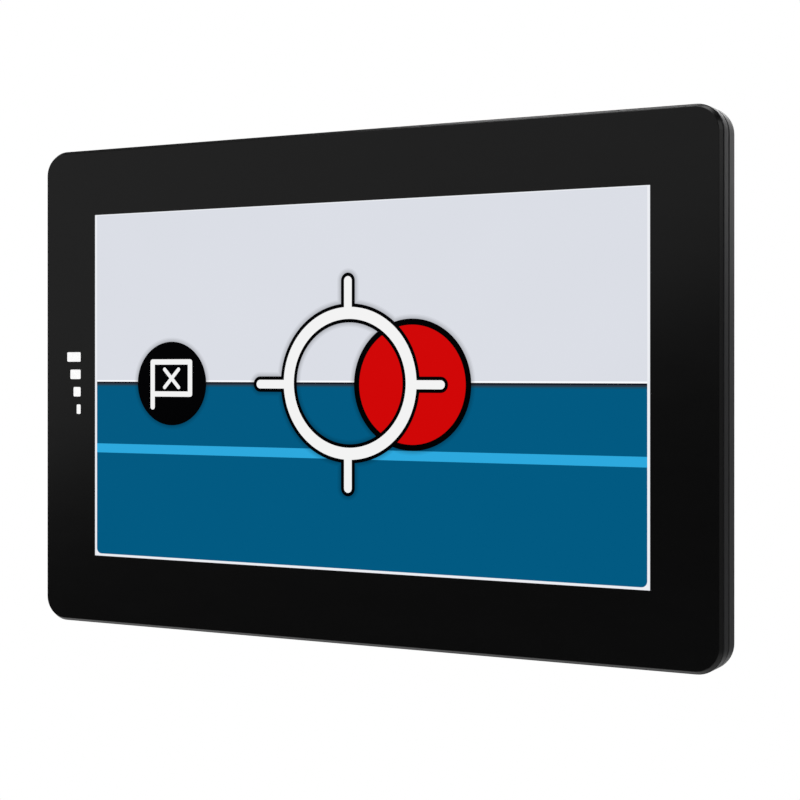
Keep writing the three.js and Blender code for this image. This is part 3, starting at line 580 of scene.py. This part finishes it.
def flag_layers():
    half, cross_half = FLAG["stroke"] / 2, CROSS["stroke"] / 2
    left, right = FLAG["left"] + half, FLAG["right"] - half
    bottom, top = FLAG["bottom"] + half, FLAG["top"] - half
    corners = [(left, bottom), (right, bottom), (right, top), (left, top)]
    strokes = [(corners[i], corners[(i + 1) % 4], half) for i in range(4)]
    strokes += [
        ((left, bottom), (left, FLAG["pole"] + half), half),
        ((CROSS["left"], CROSS["bottom"]), (CROSS["right"], CROSS["top"]), cross_half),
        ((CROSS["left"], CROSS["top"]), (CROSS["right"], CROSS["bottom"]), cross_half),
    ]
    return [("black", disc_outlines(ICON, 0))] + [("white", [capsule(*stroke)]) for stroke in strokes]


def signal_sign_layers():
    """A plain signal-strength sign in the print of the border, turned to read upwards."""
    lengths = SIGNAL_BARS["lengths"]
    layers = []
    for i, length in enumerate(lengths):
        v = SIGNAL_BARS["v"] + (i - (len(lengths) - 1) / 2) * SIGNAL_BARS["pitch"]
        u = SIGNAL_BARS["u"] + (lengths[-1] - length) / 2
        layers.append(("print", [rounded(length, SIGNAL_BAR["thick"], SIGNAL_BAR["corner"], u, v, steps=3)]))
    return layers


def picture_layers():
    """All layers from the backdrop up. The shade falls on the backdrop only, so it comes next."""
    layers = backdrop_layers()
    for level, (reach, _) in enumerate(SHADES):
        layers.append((level, disc_outlines(ICON, reach)))
        layers.append((level, disc_outlines(DISC, DISC["edge"] + reach)))
        layers += sight_layers(level, SIGHT_EDGE + reach)
    layers += [("black", disc_outlines(DISC, DISC["edge"])), ("red", disc_outlines(DISC, 0))]
    layers += sight_layers("black", SIGHT_EDGE) + sight_layers("white", 0)
    return layers + flag_layers() + signal_sign_layers()


def inside(point, outline):
    u, v = point
    hit = False
    for (u0, v0), (u1, v1) in zip(outline, outline[1:] + outline[:1]):
        if (v0 > v) != (v1 > v) and u < u0 + (v - v0) / (v1 - v0) * (u1 - u0):
            hit = not hit
    return hit


class Layer:
    """One painted shape; a point inside an odd number of its outlines is covered. Its paint is a colour's
    name, or the level of a shade that falls on what lies below."""

    def __init__(self, paint, outlines):
        right, up = SCREEN["right_of_middle"], SCREEN["above_middle"]
        outlines = [[(u + right, v + up) for u, v in outline] for outline in outlines]
        self.paint = paint
        self.outlines = outlines
        us = [u for outline in outlines for u, _ in outline]
        vs = [v for outline in outlines for _, v in outline]
        self.limits = (min(us), max(us), min(vs), max(vs))

    def covers(self, point):
        left, right, bottom, top = self.limits
        if not (left <= point[0] <= right and bottom <= point[1] <= top):
            return False
        return sum(inside(point, outline) for outline in self.outlines) % 2 == 1


def shown_at(point, layers):
    """(colour, shade level) of the picture at a point; the shade is None in the open."""
    color, shade = "border", None
    for layer in layers:
        if layer.covers(point):
            if isinstance(layer.paint, str):
                color, shade = layer.paint, None
            else:
                shade = layer.paint
    return color, shade


def paint_face(bm, border, layers, level, index_of):
    """The flat face inside border, split into triangles that each take the paint at their middle."""
    points = []
    edges = []
    for outline in [border] + [outline for layer in layers for outline in layer.outlines]:
        first = len(points)
        count = len(outline)
        points += [Vector(point) for point in outline]
        edges += [(first + i, first + (i + 1) % count) for i in range(count)]
    flat, _, triangles, *_ = delaunay_2d_cdt(points, edges, [], 0, 1e-5)
    verts = draw(bm, flat, level, backwards)
    for triangle in triangles:
        middle = sum((flat[i] for i in triangle), Vector((0, 0))) / 3
        face = bm.faces.new([verts[i] for i in triangle])
        face.material_index = index_of(*shown_at(middle, layers))


class PictureMaterials:
    """A material for each paint that turns up, made when it's first asked for."""

    def __init__(self):
        self.materials = glass_materials()
        self.indices = {("border", None): 1, ("print", None): 2}

    def index_of(self, color, shade):
        key = (color, shade)
        if key not in self.indices:
            left = 1.0 if shade is None else SHADES[shade][1]
            name = "picture_" + color if shade is None else f"picture_{color}_shade_{shade + 1}"
            shown = from_srgb([c * left for c in PICTURE_COLORS[color]])
            self.materials.append(lit_picture(name, shown).material)
            self.indices[key] = len(self.materials) - 1
        return self.indices[key]


# ---- Front pieces ----


def case_outline(inset):
    case = Extent("front_frame")
    return rounded(case.width - 2 * inset, case.height - 2 * inset, CASE_CORNER - inset)


def case_inset(extent):
    return (Extent("front_frame").width - extent.width) / 2


def make_cover_glass():
    glass = Extent("cover_glass")
    rim = case_inset(glass)
    inset, depth, soft = GLASS_EDGE["inset"], GLASS_EDGE["depth"], GLASS_EDGE["soft"]
    sections = [
        (case_outline(rim), glass.back),
        (case_outline(rim), glass.front + depth + soft),
        (case_outline(rim + soft * inset), glass.front + depth * (1 - soft)),
        (case_outline(rim + (1 - soft) * inset), glass.front + soft * depth),
        (case_outline(rim + inset + soft), glass.front),
    ]
    bm = bmesh.new()
    rings = [draw(bm, outline, level, backwards) for outline, level in sections]
    for ring, following in zip(rings, rings[1:]):
        bridge(bm, ring, following)
    bm.faces.new(rings[0][::-1])
    paints = PictureMaterials()
    painted = [Layer(*layer) for layer in picture_layers()]
    paint_face(bm, sections[-1][0], painted, glass.front, paints.index_of)
    bmesh.ops.remove_doubles(bm, verts=bm.verts, dist=WELD)
    obj = new_object("cover_glass_printed", bm)
    dress(obj, "cover_glass", "cover_glass", materials=paints.materials)


def soft_edge(outline_at, face, soft):
    """Sections from a face to the full outline: behind the face, or before it if soft is negative."""
    shares = ((1, 0), (SOFT_MIDDLE, SOFT_MIDDLE), (0, 1))
    return [(outline_at(inset * abs(soft)), face + depth * soft) for inset, depth in shares]


def ring_sections(outer, inner, front, back, outline_at):
    """A band with soft outer edges: outline_at gives the outline at an inset."""
    def outside(inset):
        return outline_at(outer + inset)

    sections = soft_edge(outside, front, SOFT_EDGE) + soft_edge(outside, back, -SOFT_EDGE)[::-1]
    return sections + [(outline_at(inner), back), (outline_at(inner), front)]


def make_front_frame():
    front = Extent("front_frame").front
    back = Extent("perimeter_seal").front - LAYER_GAP
    lip, rim = FRAME_LIP["width"], front - FRAME_LIP["rise"]
    sections = ring_sections(0, CASE_WALL, rim, back, case_outline)[:-1]
    sections += [(case_outline(inset), y) for inset, y in ((CASE_WALL, front), (lip, front), (lip, rim))]
    dress(lofted("front_frame_band", sections, closed=True), "front_frame", "frame")


def make_perimeter_seal():
    seal = Extent("perimeter_seal")
    inset = case_inset(seal)
    outer, inner = case_outline(inset), case_outline(inset + SEAL_WIDTH)
    front, back = seal.front - LAYER_GAP, seal.back + LAYER_GAP
    sections = [(outer, front), (outer, back), (inner, back), (inner, front)]
    dress(lofted("perimeter_seal_ring", sections, closed=True), "perimeter_seal", "seal")


# ---- Rear shell ----


def round_over(outline_at, back, radius, steps=8):
    """Sections of a rounded back edge, from the side to the back face."""
    sections = []
    for step in range(steps + 1):
        angle = math.pi / 2 * step / steps
        sections.append((outline_at(radius * (1 - math.cos(angle))), back - radius * (1 - math.sin(angle))))
    return sections


def make_rear_shell():
    shell = Extent("rear_shell")
    front, back = shell.front, shell.back
    floor = back - SHELL["plate"]
    opening, inner = rounded(*SHELL["opening"]), case_outline(CASE_WALL)
    sections = soft_edge(case_outline, front, SOFT_EDGE) + round_over(case_outline, back, SHELL["round"])
    sections += [(opening, back), (opening, floor), (inner, floor), (inner, front)]
    obj = lofted("rear_shell_moulding", sections, closed=True)
    cuts = bmesh.new()
    depth = CASE_RECESS["depth"]
    for screw in extents("case_screw"):
        recess(cuts, grown_circle(CASE_RECESS["radius"], screw.x, screw.z), back - depth, back)
        slab(cuts, circle(CASE_SCREW["hole"], screw.x, screw.z), front - PAST, back - depth / 2)
    for screw in extents("pod_screw"):
        slab(cuts, circle(POD_SCREW["hole"], screw.x, screw.z), floor - PAST, back + PAST)
    top = shell.height / 2
    for name in BUTTONS:
        cap = Extent(name + "_button")
        mouth = grown(BUTTON["hole"], cap.x, cap.y)
        recess(cuts, mouth, top - CASE_WALL - PAST, top, BUTTON["hole_flare"], upwards)
    combine(obj, cuts, "DIFFERENCE")
    dress(obj, "rear_shell", "shell")


# ---- Buttons ----


def plus_outline(half, thick, x, y):
    """A plus sign whose arms reach half its size from the middle."""
    t = thick / 2
    arm = [(half, -t), (half, t), (t, t)]
    points = []
    for _ in range(4):
        points += arm
        arm = [(-v, u) for u, v in arm]
    return [(x + u, y + v) for u, v in points]


def sign_solid(sign, x, y, low, high):
    """The usual small sign of a button: a plus, a minus, a dot, or a ring."""
    half, thick = BUTTON_SIGN["half"], BUTTON_SIGN["thick"]
    bm = bmesh.new()
    if sign == "ring":
        outer, inner = circle(half, x, y), circle(half - thick, x, y)
        loft(bm, [(outer, low), (outer, high), (inner, high), (inner, low)], upwards, closed=True)
        return bm
    outlines = {
        "plus": plus_outline(half, thick, x, y),
        "minus": rounded(2 * half, thick, thick / 3, x, y, steps=3),
        "dot": circle(BUTTON_SIGN["dot"], x, y),
    }
    slab(bm, outlines[sign], low, high, upwards)
    return bm


def add_inlay(obj, bm, material_index):
    """Joins another closed solid to a piece, in its own material."""
    for face in bm.faces:
        face.material_index = material_index
    bmesh.ops.recalc_face_normals(bm, faces=bm.faces)
    mesh = bpy.data.meshes.new("inlay")
    bm.to_mesh(mesh)
    bm.free()
    whole = bmesh.new()
    whole.from_mesh(obj.data)
    whole.from_mesh(mesh)
    whole.to_mesh(obj.data)
    whole.free()
    bpy.data.meshes.remove(mesh)


def make_button(name, sign):
    node = name + "_button"
    cap = Extent(node)
    flange = rounded(cap.width, cap.back - cap.front, BUTTON["cap"][2], cap.x, cap.y, steps=8)
    outline_at = grown(BUTTON["cap"], cap.x, cap.y)
    shoulder = cap.bottom + BUTTON["flange"]
    sections = [(flange, cap.bottom), (flange, shoulder), (outline_at(0), shoulder)]
    sections += round_over(lambda inset: outline_at(-inset), cap.top, BUTTON["dome"], 4)
    obj = lofted(name + "_cap", sections, upwards)
    floor = cap.top - BUTTON_SIGN["depth"]
    combine(obj, sign_solid(sign, cap.x, cap.y, floor, cap.top + PAST), "DIFFERENCE")
    paint_top = cap.top - BUTTON_SIGN["paint_below"]
    add_inlay(obj, sign_solid(sign, cap.x, cap.y, floor - LAYER_GAP, paint_top), 1)
    dress(obj, node, "button_cap", name + "_key", [LOOKS["button_cap"], white_paint()])


# ---- Pod ----


def pod_outline(inset):
    pod = Extent("pod_cover")
    return rounded(pod.width - 2 * inset, pod.height - 2 * inset, POD["corner"] - inset)


def pod_faces():
    """Front, floor of the back plate, and back face of the pod, along Y."""
    pod = Extent("pod_cover")
    back = pod.back - PAD["rise"]
    return pod.front, back - POD["plate"], back


def pod_body():
    front, floor, back = pod_faces()
    sections = soft_edge(pod_outline, front, SOFT_EDGE) + round_over(pod_outline, back, POD["round"])
    obj = lofted("pod_moulding", sections)
    combine(obj, slabs((pod_outline(POD["wall"]), front - PAST, floor)), "DIFFERENCE")
    return obj


def pad_solid(bm):
    back = pod_faces()[2]
    outline_at = grown((PAD["width"], PAD["height"], PAD["corner"]))
    rim = soft_edge(lambda inset: outline_at(-inset), back + PAD["rise"], -PAD["edge"])
    loft(bm, [(outline_at(0), back - PAST)] + rim[::-1])


def pod_additions():
    """The mounting pad, the bosses and posts, and the block round the service bay."""
    front, floor, _ = pod_faces()
    pod = Extent("pod_cover")
    bm = bmesh.new()
    pad_solid(bm)
    for screw in extents("pod_screw"):
        slab(bm, circle(POD_SCREW["boss"], screw.x, screw.z), front, floor + PAST)
    for insert in extents("mount_insert"):
        outline = circle(INSERT_BOSS["radius"], insert.x, insert.z)
        slab(bm, outline, insert.front - INSERT_BOSS["floor"], floor + PAST)
    shield = Extent("processor_shield")
    for x, z in BOARD_POST["places"]:
        slab(bm, circle(BOARD_POST["radius"], x, z, SMALL_STEPS), shield.front, floor + PAST)
    walls = (pod.left + POD["wall"] / 2, pod.left + BAY["inward"], -BAY["block_z"], BAY["block_z"])
    slab(bm, rectangle(*walls), front, floor + PAST)
    return bm


def window_cuts(bm, node, window):
    _, floor, back = pod_faces()
    pane = Extent(node)
    recess(bm, grown(window["size"], pane.x, pane.z), pane.front - 2 * LAYER_GAP, back)
    slab(bm, grown(window["size"], pane.x, pane.z, CORNER_STEPS)(-window["ledge"]), floor - PAST, back)


def fastener_cuts(bm):
    front, _, back = pod_faces()
    for screw in extents("pod_screw"):
        recess(bm, grown_circle(POD_RECESS["radius"], screw.x, screw.z), back - POD_RECESS["depth"], back)
        slab(bm, circle(POD_SCREW["hole"], screw.x, screw.z), front - PAST, back)
    for insert in extents("mount_insert"):
        mouth = grown_circle(INSERT_BOSS["socket"], insert.x, insert.z)
        recess(bm, mouth, insert.front - LAYER_GAP, 0, INSERT_BOSS["flare"])


def grille_cuts(bm):
    """Slots over the speaker, and vents in the top wall."""
    _, floor, back = pod_faces()
    cone = Extent("speaker_cone")
    slot = SPEAKER_SLOT
    for i in range(slot["count"]):
        z = cone.z + (i - (slot["count"] - 1) / 2) * slot["pitch"]
        outline_at = grown((slot["width"], slot["height"], slot["height"] / 2), cone.x, z)
        recess(bm, outline_at, floor - PAST, back)
    top = Extent("pod_cover").top
    for i in range(VENT["count"]):
        x = (i - (VENT["count"] - 1) / 2) * VENT["pitch"]
        outline_at = grown((VENT["width"], VENT["length"], VENT["width"] / 2), x, VENT["y"])
        recess(bm, outline_at, top - POD["wall"] - PAST, top, way=upwards)


def socket_cuts(bm):
    bottom = Extent("pod_cover").bottom
    power, jack = Extent("power_socket"), Extent("audio_jack")
    gap = SOCKET["clearance"]
    depth = power.back - power.front
    size = (power.width + 2 * gap, depth + 2 * gap, depth / 2 + gap)
    for mouth in (grown(size, power.x, power.y), grown_circle(JACK["radius"] + gap, jack.x, jack.y)):
        recess(bm, mouth, bottom + POD["wall"] + PAST, bottom, way=upwards)


def bay_cuts(bm):
    """The seat of the service door, the trough behind its hinge, the pocket to the sockets, the pin hole."""
    pod, door, pin = Extent("pod_cover"), Extent("service_door"), Extent("service_door_pin")
    seat_front, seat_back = door.front - DOOR["gap"], pin.y + DOOR["back_gap"]
    half = door.height / 2 + DOOR["gap"]
    for depth, front, back, reach in (
        (BAY["seat"], seat_front, seat_back, half),
        (BAY["trough_floor"], seat_back - BAY["trough"], seat_back, half),
        (BAY["inward"] + PAST, door.front + POCKET["front"], pin.y - POCKET["back"], BAY["z"]),
    ):
        slab(bm, rectangle(pod.left - PAST, pod.left + depth, front, back), -reach, reach, upwards)
    reach = pin.height / 2 + LAYER_GAP
    slab(bm, circle(DOOR["bore"], pin.x, pin.y, SMALL_STEPS), -reach, reach, upwards)


def make_pod_cover():
    obj = pod_body()
    combine(obj, pod_additions(), "UNION")
    cuts = bmesh.new()
    fastener_cuts(cuts)
    for node, window in PANES.items():
        window_cuts(cuts, node, window)
    grille_cuts(cuts)
    socket_cuts(cuts)
    bay_cuts(cuts)
    combine(obj, cuts, "DIFFERENCE")
    dress(obj, "pod_cover", "shell")


def make_pod_gasket():
    gasket = Extent("pod_gasket")
    outer = (Extent("pod_cover").width - gasket.width) / 2
    sections = ring_sections(outer, outer + POD_GASKET_WIDTH, gasket.front, gasket.back, pod_outline)
    dress(lofted("pod_gasket_ring", sections, closed=True), "pod_gasket", "seal")


def make_pane(node, window):
    """A window or lens with a rounded rim on its outer face."""
    pane = Extent(node)
    outline_at = grown(window["size"], pane.x, pane.z, CORNER_STEPS)
    sections = [(outline_at(-PANE_CLEARANCE), pane.front)]
    sections += round_over(lambda inset: outline_at(-(PANE_CLEARANCE + inset)), pane.back, window["edge"], 5)
    dress(lofted(node + "_pane", sections), node, node)


# ---- Fasteners ----


def make_screw(screw, kind):
    x, z, face = screw.x, screw.z, screw.back
    head, shank, chamfer = kind["head"], kind["shank"], kind["chamfer"]
    under = face - kind["height"]
    soft = SCREW_SOFT_SHARE * chamfer
    profile = [
        (SCREW_TIP["radius_share"] * shank, screw.front),
        (shank, screw.front + SCREW_TIP["length"]),
        (shank, under),
        (head, under),
        (head, face - chamfer),
        (head - soft, face - soft),
        (head - chamfer, face),
    ]
    obj = lofted(screw.node + "_turned", [(circle(radius, x, z), level) for radius, level in profile])
    hexagon = grown_circle(DRIVE["radius"], x, z, DRIVE["sides"])
    sink(obj, hexagon, face - DRIVE["depth"], face, DRIVE["flare"])
    dress(obj, screw.node, "screw_steel")


def make_insert(insert):
    """A brass insert with a knurled wall, a groove round it and a smooth bore."""
    x, z, front, back = insert.x, insert.z, insert.front, insert.back
    radius, bore, groove = insert.width / 2, INSERT["bore"], INSERT["groove_radius"]
    edge, bore_edge = INSERT_EDGE["outer"], INSERT_EDGE["bore"]
    near, far = (back - depth for depth in INSERT["groove"])
    count = INSERT["knurls"] * 3
    turn = 2 * math.pi / count
    radii = [radius if i % 3 else radius - INSERT["knurl_depth"] for i in range(count)]
    knurled = [(x + r * math.cos(turn * i), z + r * math.sin(turn * i)) for i, r in enumerate(radii)]

    def ring(r):
        return circle(r, x, z, count)

    sections = [
        (ring(bore), front),
        (ring(radius - edge), front),
        (knurled, front + edge),
        (knurled, far),
        (ring(groove), far),
        (ring(groove), near),
        (knurled, near),
        (knurled, back - edge),
        (ring(radius - edge), back),
        (ring(bore + bore_edge), back),
        (ring(bore), back - bore_edge),
    ]
    dress(lofted(insert.node + "_knurled", sections, closed=True), insert.node, "brass")


# ---- Sockets and service door ----


def make_plug_socket(node, width, height, length, way):
    """A rolled metal can with a contact tongue inside."""
    outline_at = grown((width, height, height / 2))
    wall, depth, edge = SOCKET["wall"], SOCKET["depth"], SOCKET["edge"]
    sections = [
        (outline_at(0), -length),
        (outline_at(0), -edge),
        (outline_at(-edge), 0),
        (outline_at(edge - wall), 0),
        (outline_at(-wall), -edge),
        (outline_at(-wall), -depth),
    ]
    obj = lofted(node + "_can", sections, way)
    tongue = rounded(TONGUE["width"], TONGUE["height"], TONGUE["corner"], steps=3)
    combine(obj, slabs((tongue, -depth - TONGUE["root"], TONGUE["length"] - depth), way=way), "UNION")
    dress(obj, node, "steel")


def make_card_socket(way):
    card = Extent("card_socket")
    body = rounded(card.height, card.back - card.front, CARD_SLOT["corner"], steps=3)
    obj = new_object("card_socket_shell", slabs((body, -card.width, 0), way=way))
    sink(obj, grown(CARD_SLOT["size"], steps=3), -CARD_SLOT["length"], 0, CARD_SLOT["flare"], way)
    dress(obj, "card_socket", "steel")


def make_audio_jack(way):
    jack = Extent("audio_jack")
    end, neck = -jack.height, -JACK["neck"]
    body = rounded(jack.width, jack.back - jack.front, JACK["corner"], steps=3)
    bm = slabs((circle(JACK["radius"]), neck - JACK["overlap"], 0), (body, end, neck), way=way)
    core = slabs((circle(JACK_CORE["radius"]), end + JACK_CORE["end"], neck - PAST), way=way)
    obj = new_object("audio_jack_body", core)
    combine(obj, bm, "UNION")
    sink(obj, grown_circle(JACK["bore"]), -JACK["bore_depth"], 0, JACK["flare"], way)
    dress(obj, "audio_jack", "socket_plastic")


def make_sockets():
    power, jack = Extent("power_socket"), Extent("audio_jack")
    data, card = Extent("data_socket"), Extent("card_socket")
    down = mouth_down(power.x, power.y, power.bottom)
    make_plug_socket("power_socket", power.width, power.back - power.front, power.height, down)
    left = mouth_left(data.left, data.y, data.z)
    make_plug_socket("data_socket", data.height, data.back - data.front, data.width, left)
    make_card_socket(mouth_left(card.left, card.y, card.z))
    make_audio_jack(mouth_down(jack.x, jack.y, jack.bottom))


def door_outline(door, pin):
    """The leaf with its knuckle, seen from above: X and Y."""
    outer, inner, front = door.left, door.left + DOOR["leaf"], door.front
    soft, edge, knuckle = DOOR["soft"], DOOR["edge"], DOOR["knuckle"]
    middle = SOFT_MIDDLE * soft
    points = [(outer + soft, front), (inner - edge, front), (inner, front + edge), (inner, pin.y - knuckle)]
    points += arc(pin.x, pin.y, knuckle, -math.pi / 2, 1.5 * math.pi, 16)[1:]
    return points + [(outer, front + soft), (outer + middle, front + middle)]


def make_service_door():
    door, pin = Extent("service_door"), Extent("service_door_pin")
    half = door.height / 2
    obj = new_object("service_door_leaf", slabs((door_outline(door, pin), -half, half), way=upwards))
    cuts = bmesh.new()
    slab(cuts, circle(DOOR["bore"], pin.x, pin.y, SMALL_STEPS), -half - PAST, half + PAST, upwards)
    for i in range(GROOVE["count"]):
        y = door.front + GROOVE["first"] + GROOVE["pitch"] * i
        groove = rectangle(door.left - PAST, door.left + GROOVE["depth"], y, y + GROOVE["width"])
        slab(cuts, groove, -GROOVE["half"], GROOVE["half"], upwards)
    combine(obj, cuts, "DIFFERENCE")
    dress(obj, "service_door", "shell", "service_door")


def make_door_pin():
    pin = Extent("service_door_pin")
    radius, half, edge = pin.width / 2, pin.height / 2, PIN_EDGE
    profile = [(radius - edge, -half), (radius, edge - half), (radius, half - edge), (radius - edge, half)]
    sections = [(circle(r, pin.x, pin.y, SMALL_STEPS), level) for r, level in profile]
    dress(lofted("service_door_rod", sections, upwards), "service_door_pin", "steel")


# ---- Speaker ----


def make_speaker_cone():
    cone = Extent("speaker_cone")
    radius, rim = cone.width / 2, cone.back
    tip, hub, fall, skin = (SPEAKER_CONE[size] for size in ("tip", "hub", "fall", "skin"))
    ribs = SPEAKER_CONE["ribs"]
    outside, underside = [], []
    for i in range(ribs * 4 + 1):
        share = i / (ribs * 4)
        wave = SPEAKER_CONE["rib_height"] * (1 - math.cos(2 * math.pi * share * ribs)) / 2
        r = hub + (radius - hub) * share
        level = rim - fall * (1 - share)
        outside.append((r, level - wave))
        underside.append((r, level - skin))
    profile = [(tip, rim - fall)] + outside + [(radius, rim - skin)]
    profile += underside[::-1][1:] + [(tip, rim - fall - skin)]
    sections = [(circle(r, cone.x, cone.z, 64), level) for r, level in profile]
    dress(lofted("speaker_cone_ribbed", sections), "speaker_cone", "speaker_cone")


# ---- Pieces kept from the CAD ----


def dress_kept_nodes():
    slots = {part["node"]: part["material_slot"] for part in frame["record"]["subparts"]}
    for name, node in frame["nodes"].items():
        if node.hide_render:
            continue
        node.data.materials.clear()
        node.data.materials.append(LOOKS[slots[name]])


# ---- Camera ----

CAMERA_YAW = math.radians(28.126)
CAMERA_PLACE = (0.20489, -0.38301, 0.00376)
CAMERA_LENS = 76.54
CAMERA_SHIFT = -0.03515


def add_camera():
    data = bpy.data.cameras.new("camera")
    data.lens = CAMERA_LENS
    data.sensor_width = 36
    data.shift_y = CAMERA_SHIFT
    data.clip_start = 0.01
    camera = bpy.data.objects.new("camera", data)
    bpy.context.scene.collection.objects.link(camera)
    camera.location = CAMERA_PLACE
    camera.rotation_euler = (math.pi / 2, 0, CAMERA_YAW)
    bpy.context.scene.camera = camera


# ---- Studio ----

# Lengths here and below are in metres.
WORLD_DIM = 0.07
FLOOR = {"z": -0.42, "thick": 0.01, "radius": 0.9, "glow": 0.15}
# Name: place, point it looks at, size, radiance, turn about its own axis.
PANELS = {
    "glass_sheen": ((-0.684, -1.0, 0.42), (-0.684, 0, 0.42), (1.6, 0.9), 0.305, math.radians(13.4)),
    "top": ((0.1, -0.1, 1.3), (0, 0, 0), (1.4, 1.2), 2.6, 0.0),
    "right": ((1.5, -0.1, 0.65), (0, 0, 0.65), (1.2, 0.9), 1.4, 0.0),
    "right_fill": ((1.5, -0.1, -0.3), (0, 0, -0.3), (1.2, 1.0), 0.26, 0.0),
    "left": ((-1.5, 0.4, 0.6), (0, 0, 0), (0.8, 0.8), 1.2, 0.0),
    "behind": ((-0.3, 1.4, 1.1), (0, 0, 0), (1.2, 0.8), 3.0, 0.0),
    "edge_sheen": ((0.55, 1.6, 0.65), (0.55, 0, 0.65), (1.0, 1.0), 0.45, 0.0),
    "corner_sheen": ((-0.05, 1.5, 0.7), (-0.05, 0, 0.7), (0.6, 0.6), 0.9, 0.0),
}


def add_world():
    """White to the camera, dim to everything that mirrors it."""
    world = bpy.data.worlds.new("studio")
    bpy.context.scene.world = world
    world.use_nodes = True
    nodes, links = world.node_tree.nodes, world.node_tree.links
    nodes.clear()
    path = nodes.new("ShaderNodeLightPath")
    mix = nodes.new("ShaderNodeMixShader")
    out = nodes.new("ShaderNodeOutputWorld")
    links.new(path.outputs["Is Camera Ray"], mix.inputs[0])
    links.new(mix.outputs[0], out.inputs["Surface"])
    for socket, strength in ((1, WORLD_DIM), (2, 1.0)):
        white = nodes.new("ShaderNodeBackground")
        white.inputs["Color"].default_value = (1, 1, 1, 1)
        white.inputs["Strength"].default_value = strength
        links.new(white.outputs[0], mix.inputs[socket])


def add_floor():
    radius, level = FLOOR["radius"] / MM, FLOOR["z"] / MM
    disc = (circle(radius, steps=128), level - FLOOR["thick"] / MM, level)
    floor = new_object("floor", slabs(disc, way=upwards))
    look = Material("pale_floor", (0.72, 0.72, 0.72), 0.9).tint(0.99, 1.01, 60)
    look.setting("Emission Color", (1, 1, 1, 1)).setting("Emission Strength", FLOOR["glow"])
    floor.data.materials.append(look.material)


def add_panel(name, place, target, size, radiance, turn):
    """A rectangular soft light of one brightness, unseen by the camera."""
    data = bpy.data.lights.new(name, "AREA")
    data.shape = "RECTANGLE"
    data.size, data.size_y = size
    data.energy = radiance * math.pi * size[0] * size[1]
    light = bpy.data.objects.new(name, data)
    bpy.context.scene.collection.objects.link(light)
    aim = (Vector(target) - Vector(place)).to_track_quat("-Z", "Y").to_matrix().to_4x4()
    light.matrix_world = Matrix.Translation(place) @ aim @ Matrix.Rotation(turn, 4, "Z")
    light.visible_camera = False


# ---- Assembly ----


def build():
    make_cover_glass()
    make_front_frame()
    make_perimeter_seal()
    make_rear_shell()
    make_pod_cover()
    make_pod_gasket()
    for node, window in PANES.items():
        make_pane(node, window)
    for name, sign in BUTTONS.items():
        make_button(name, sign)
    for screw in extents("case_screw"):
        make_screw(screw, CASE_SCREW)
    for screw in extents("pod_screw"):
        make_screw(screw, POD_SCREW)
    for insert in extents("mount_insert"):
        make_insert(insert)
    make_sockets()
    make_service_door()
    make_door_pin()
    make_speaker_cone()
    dress_kept_nodes()


build()
add_camera()
add_world()
add_floor()
for panel, setting in PANELS.items():
    add_panel(panel, *setting)
bpy.context.scene.view_settings.view_transform = "Standard"
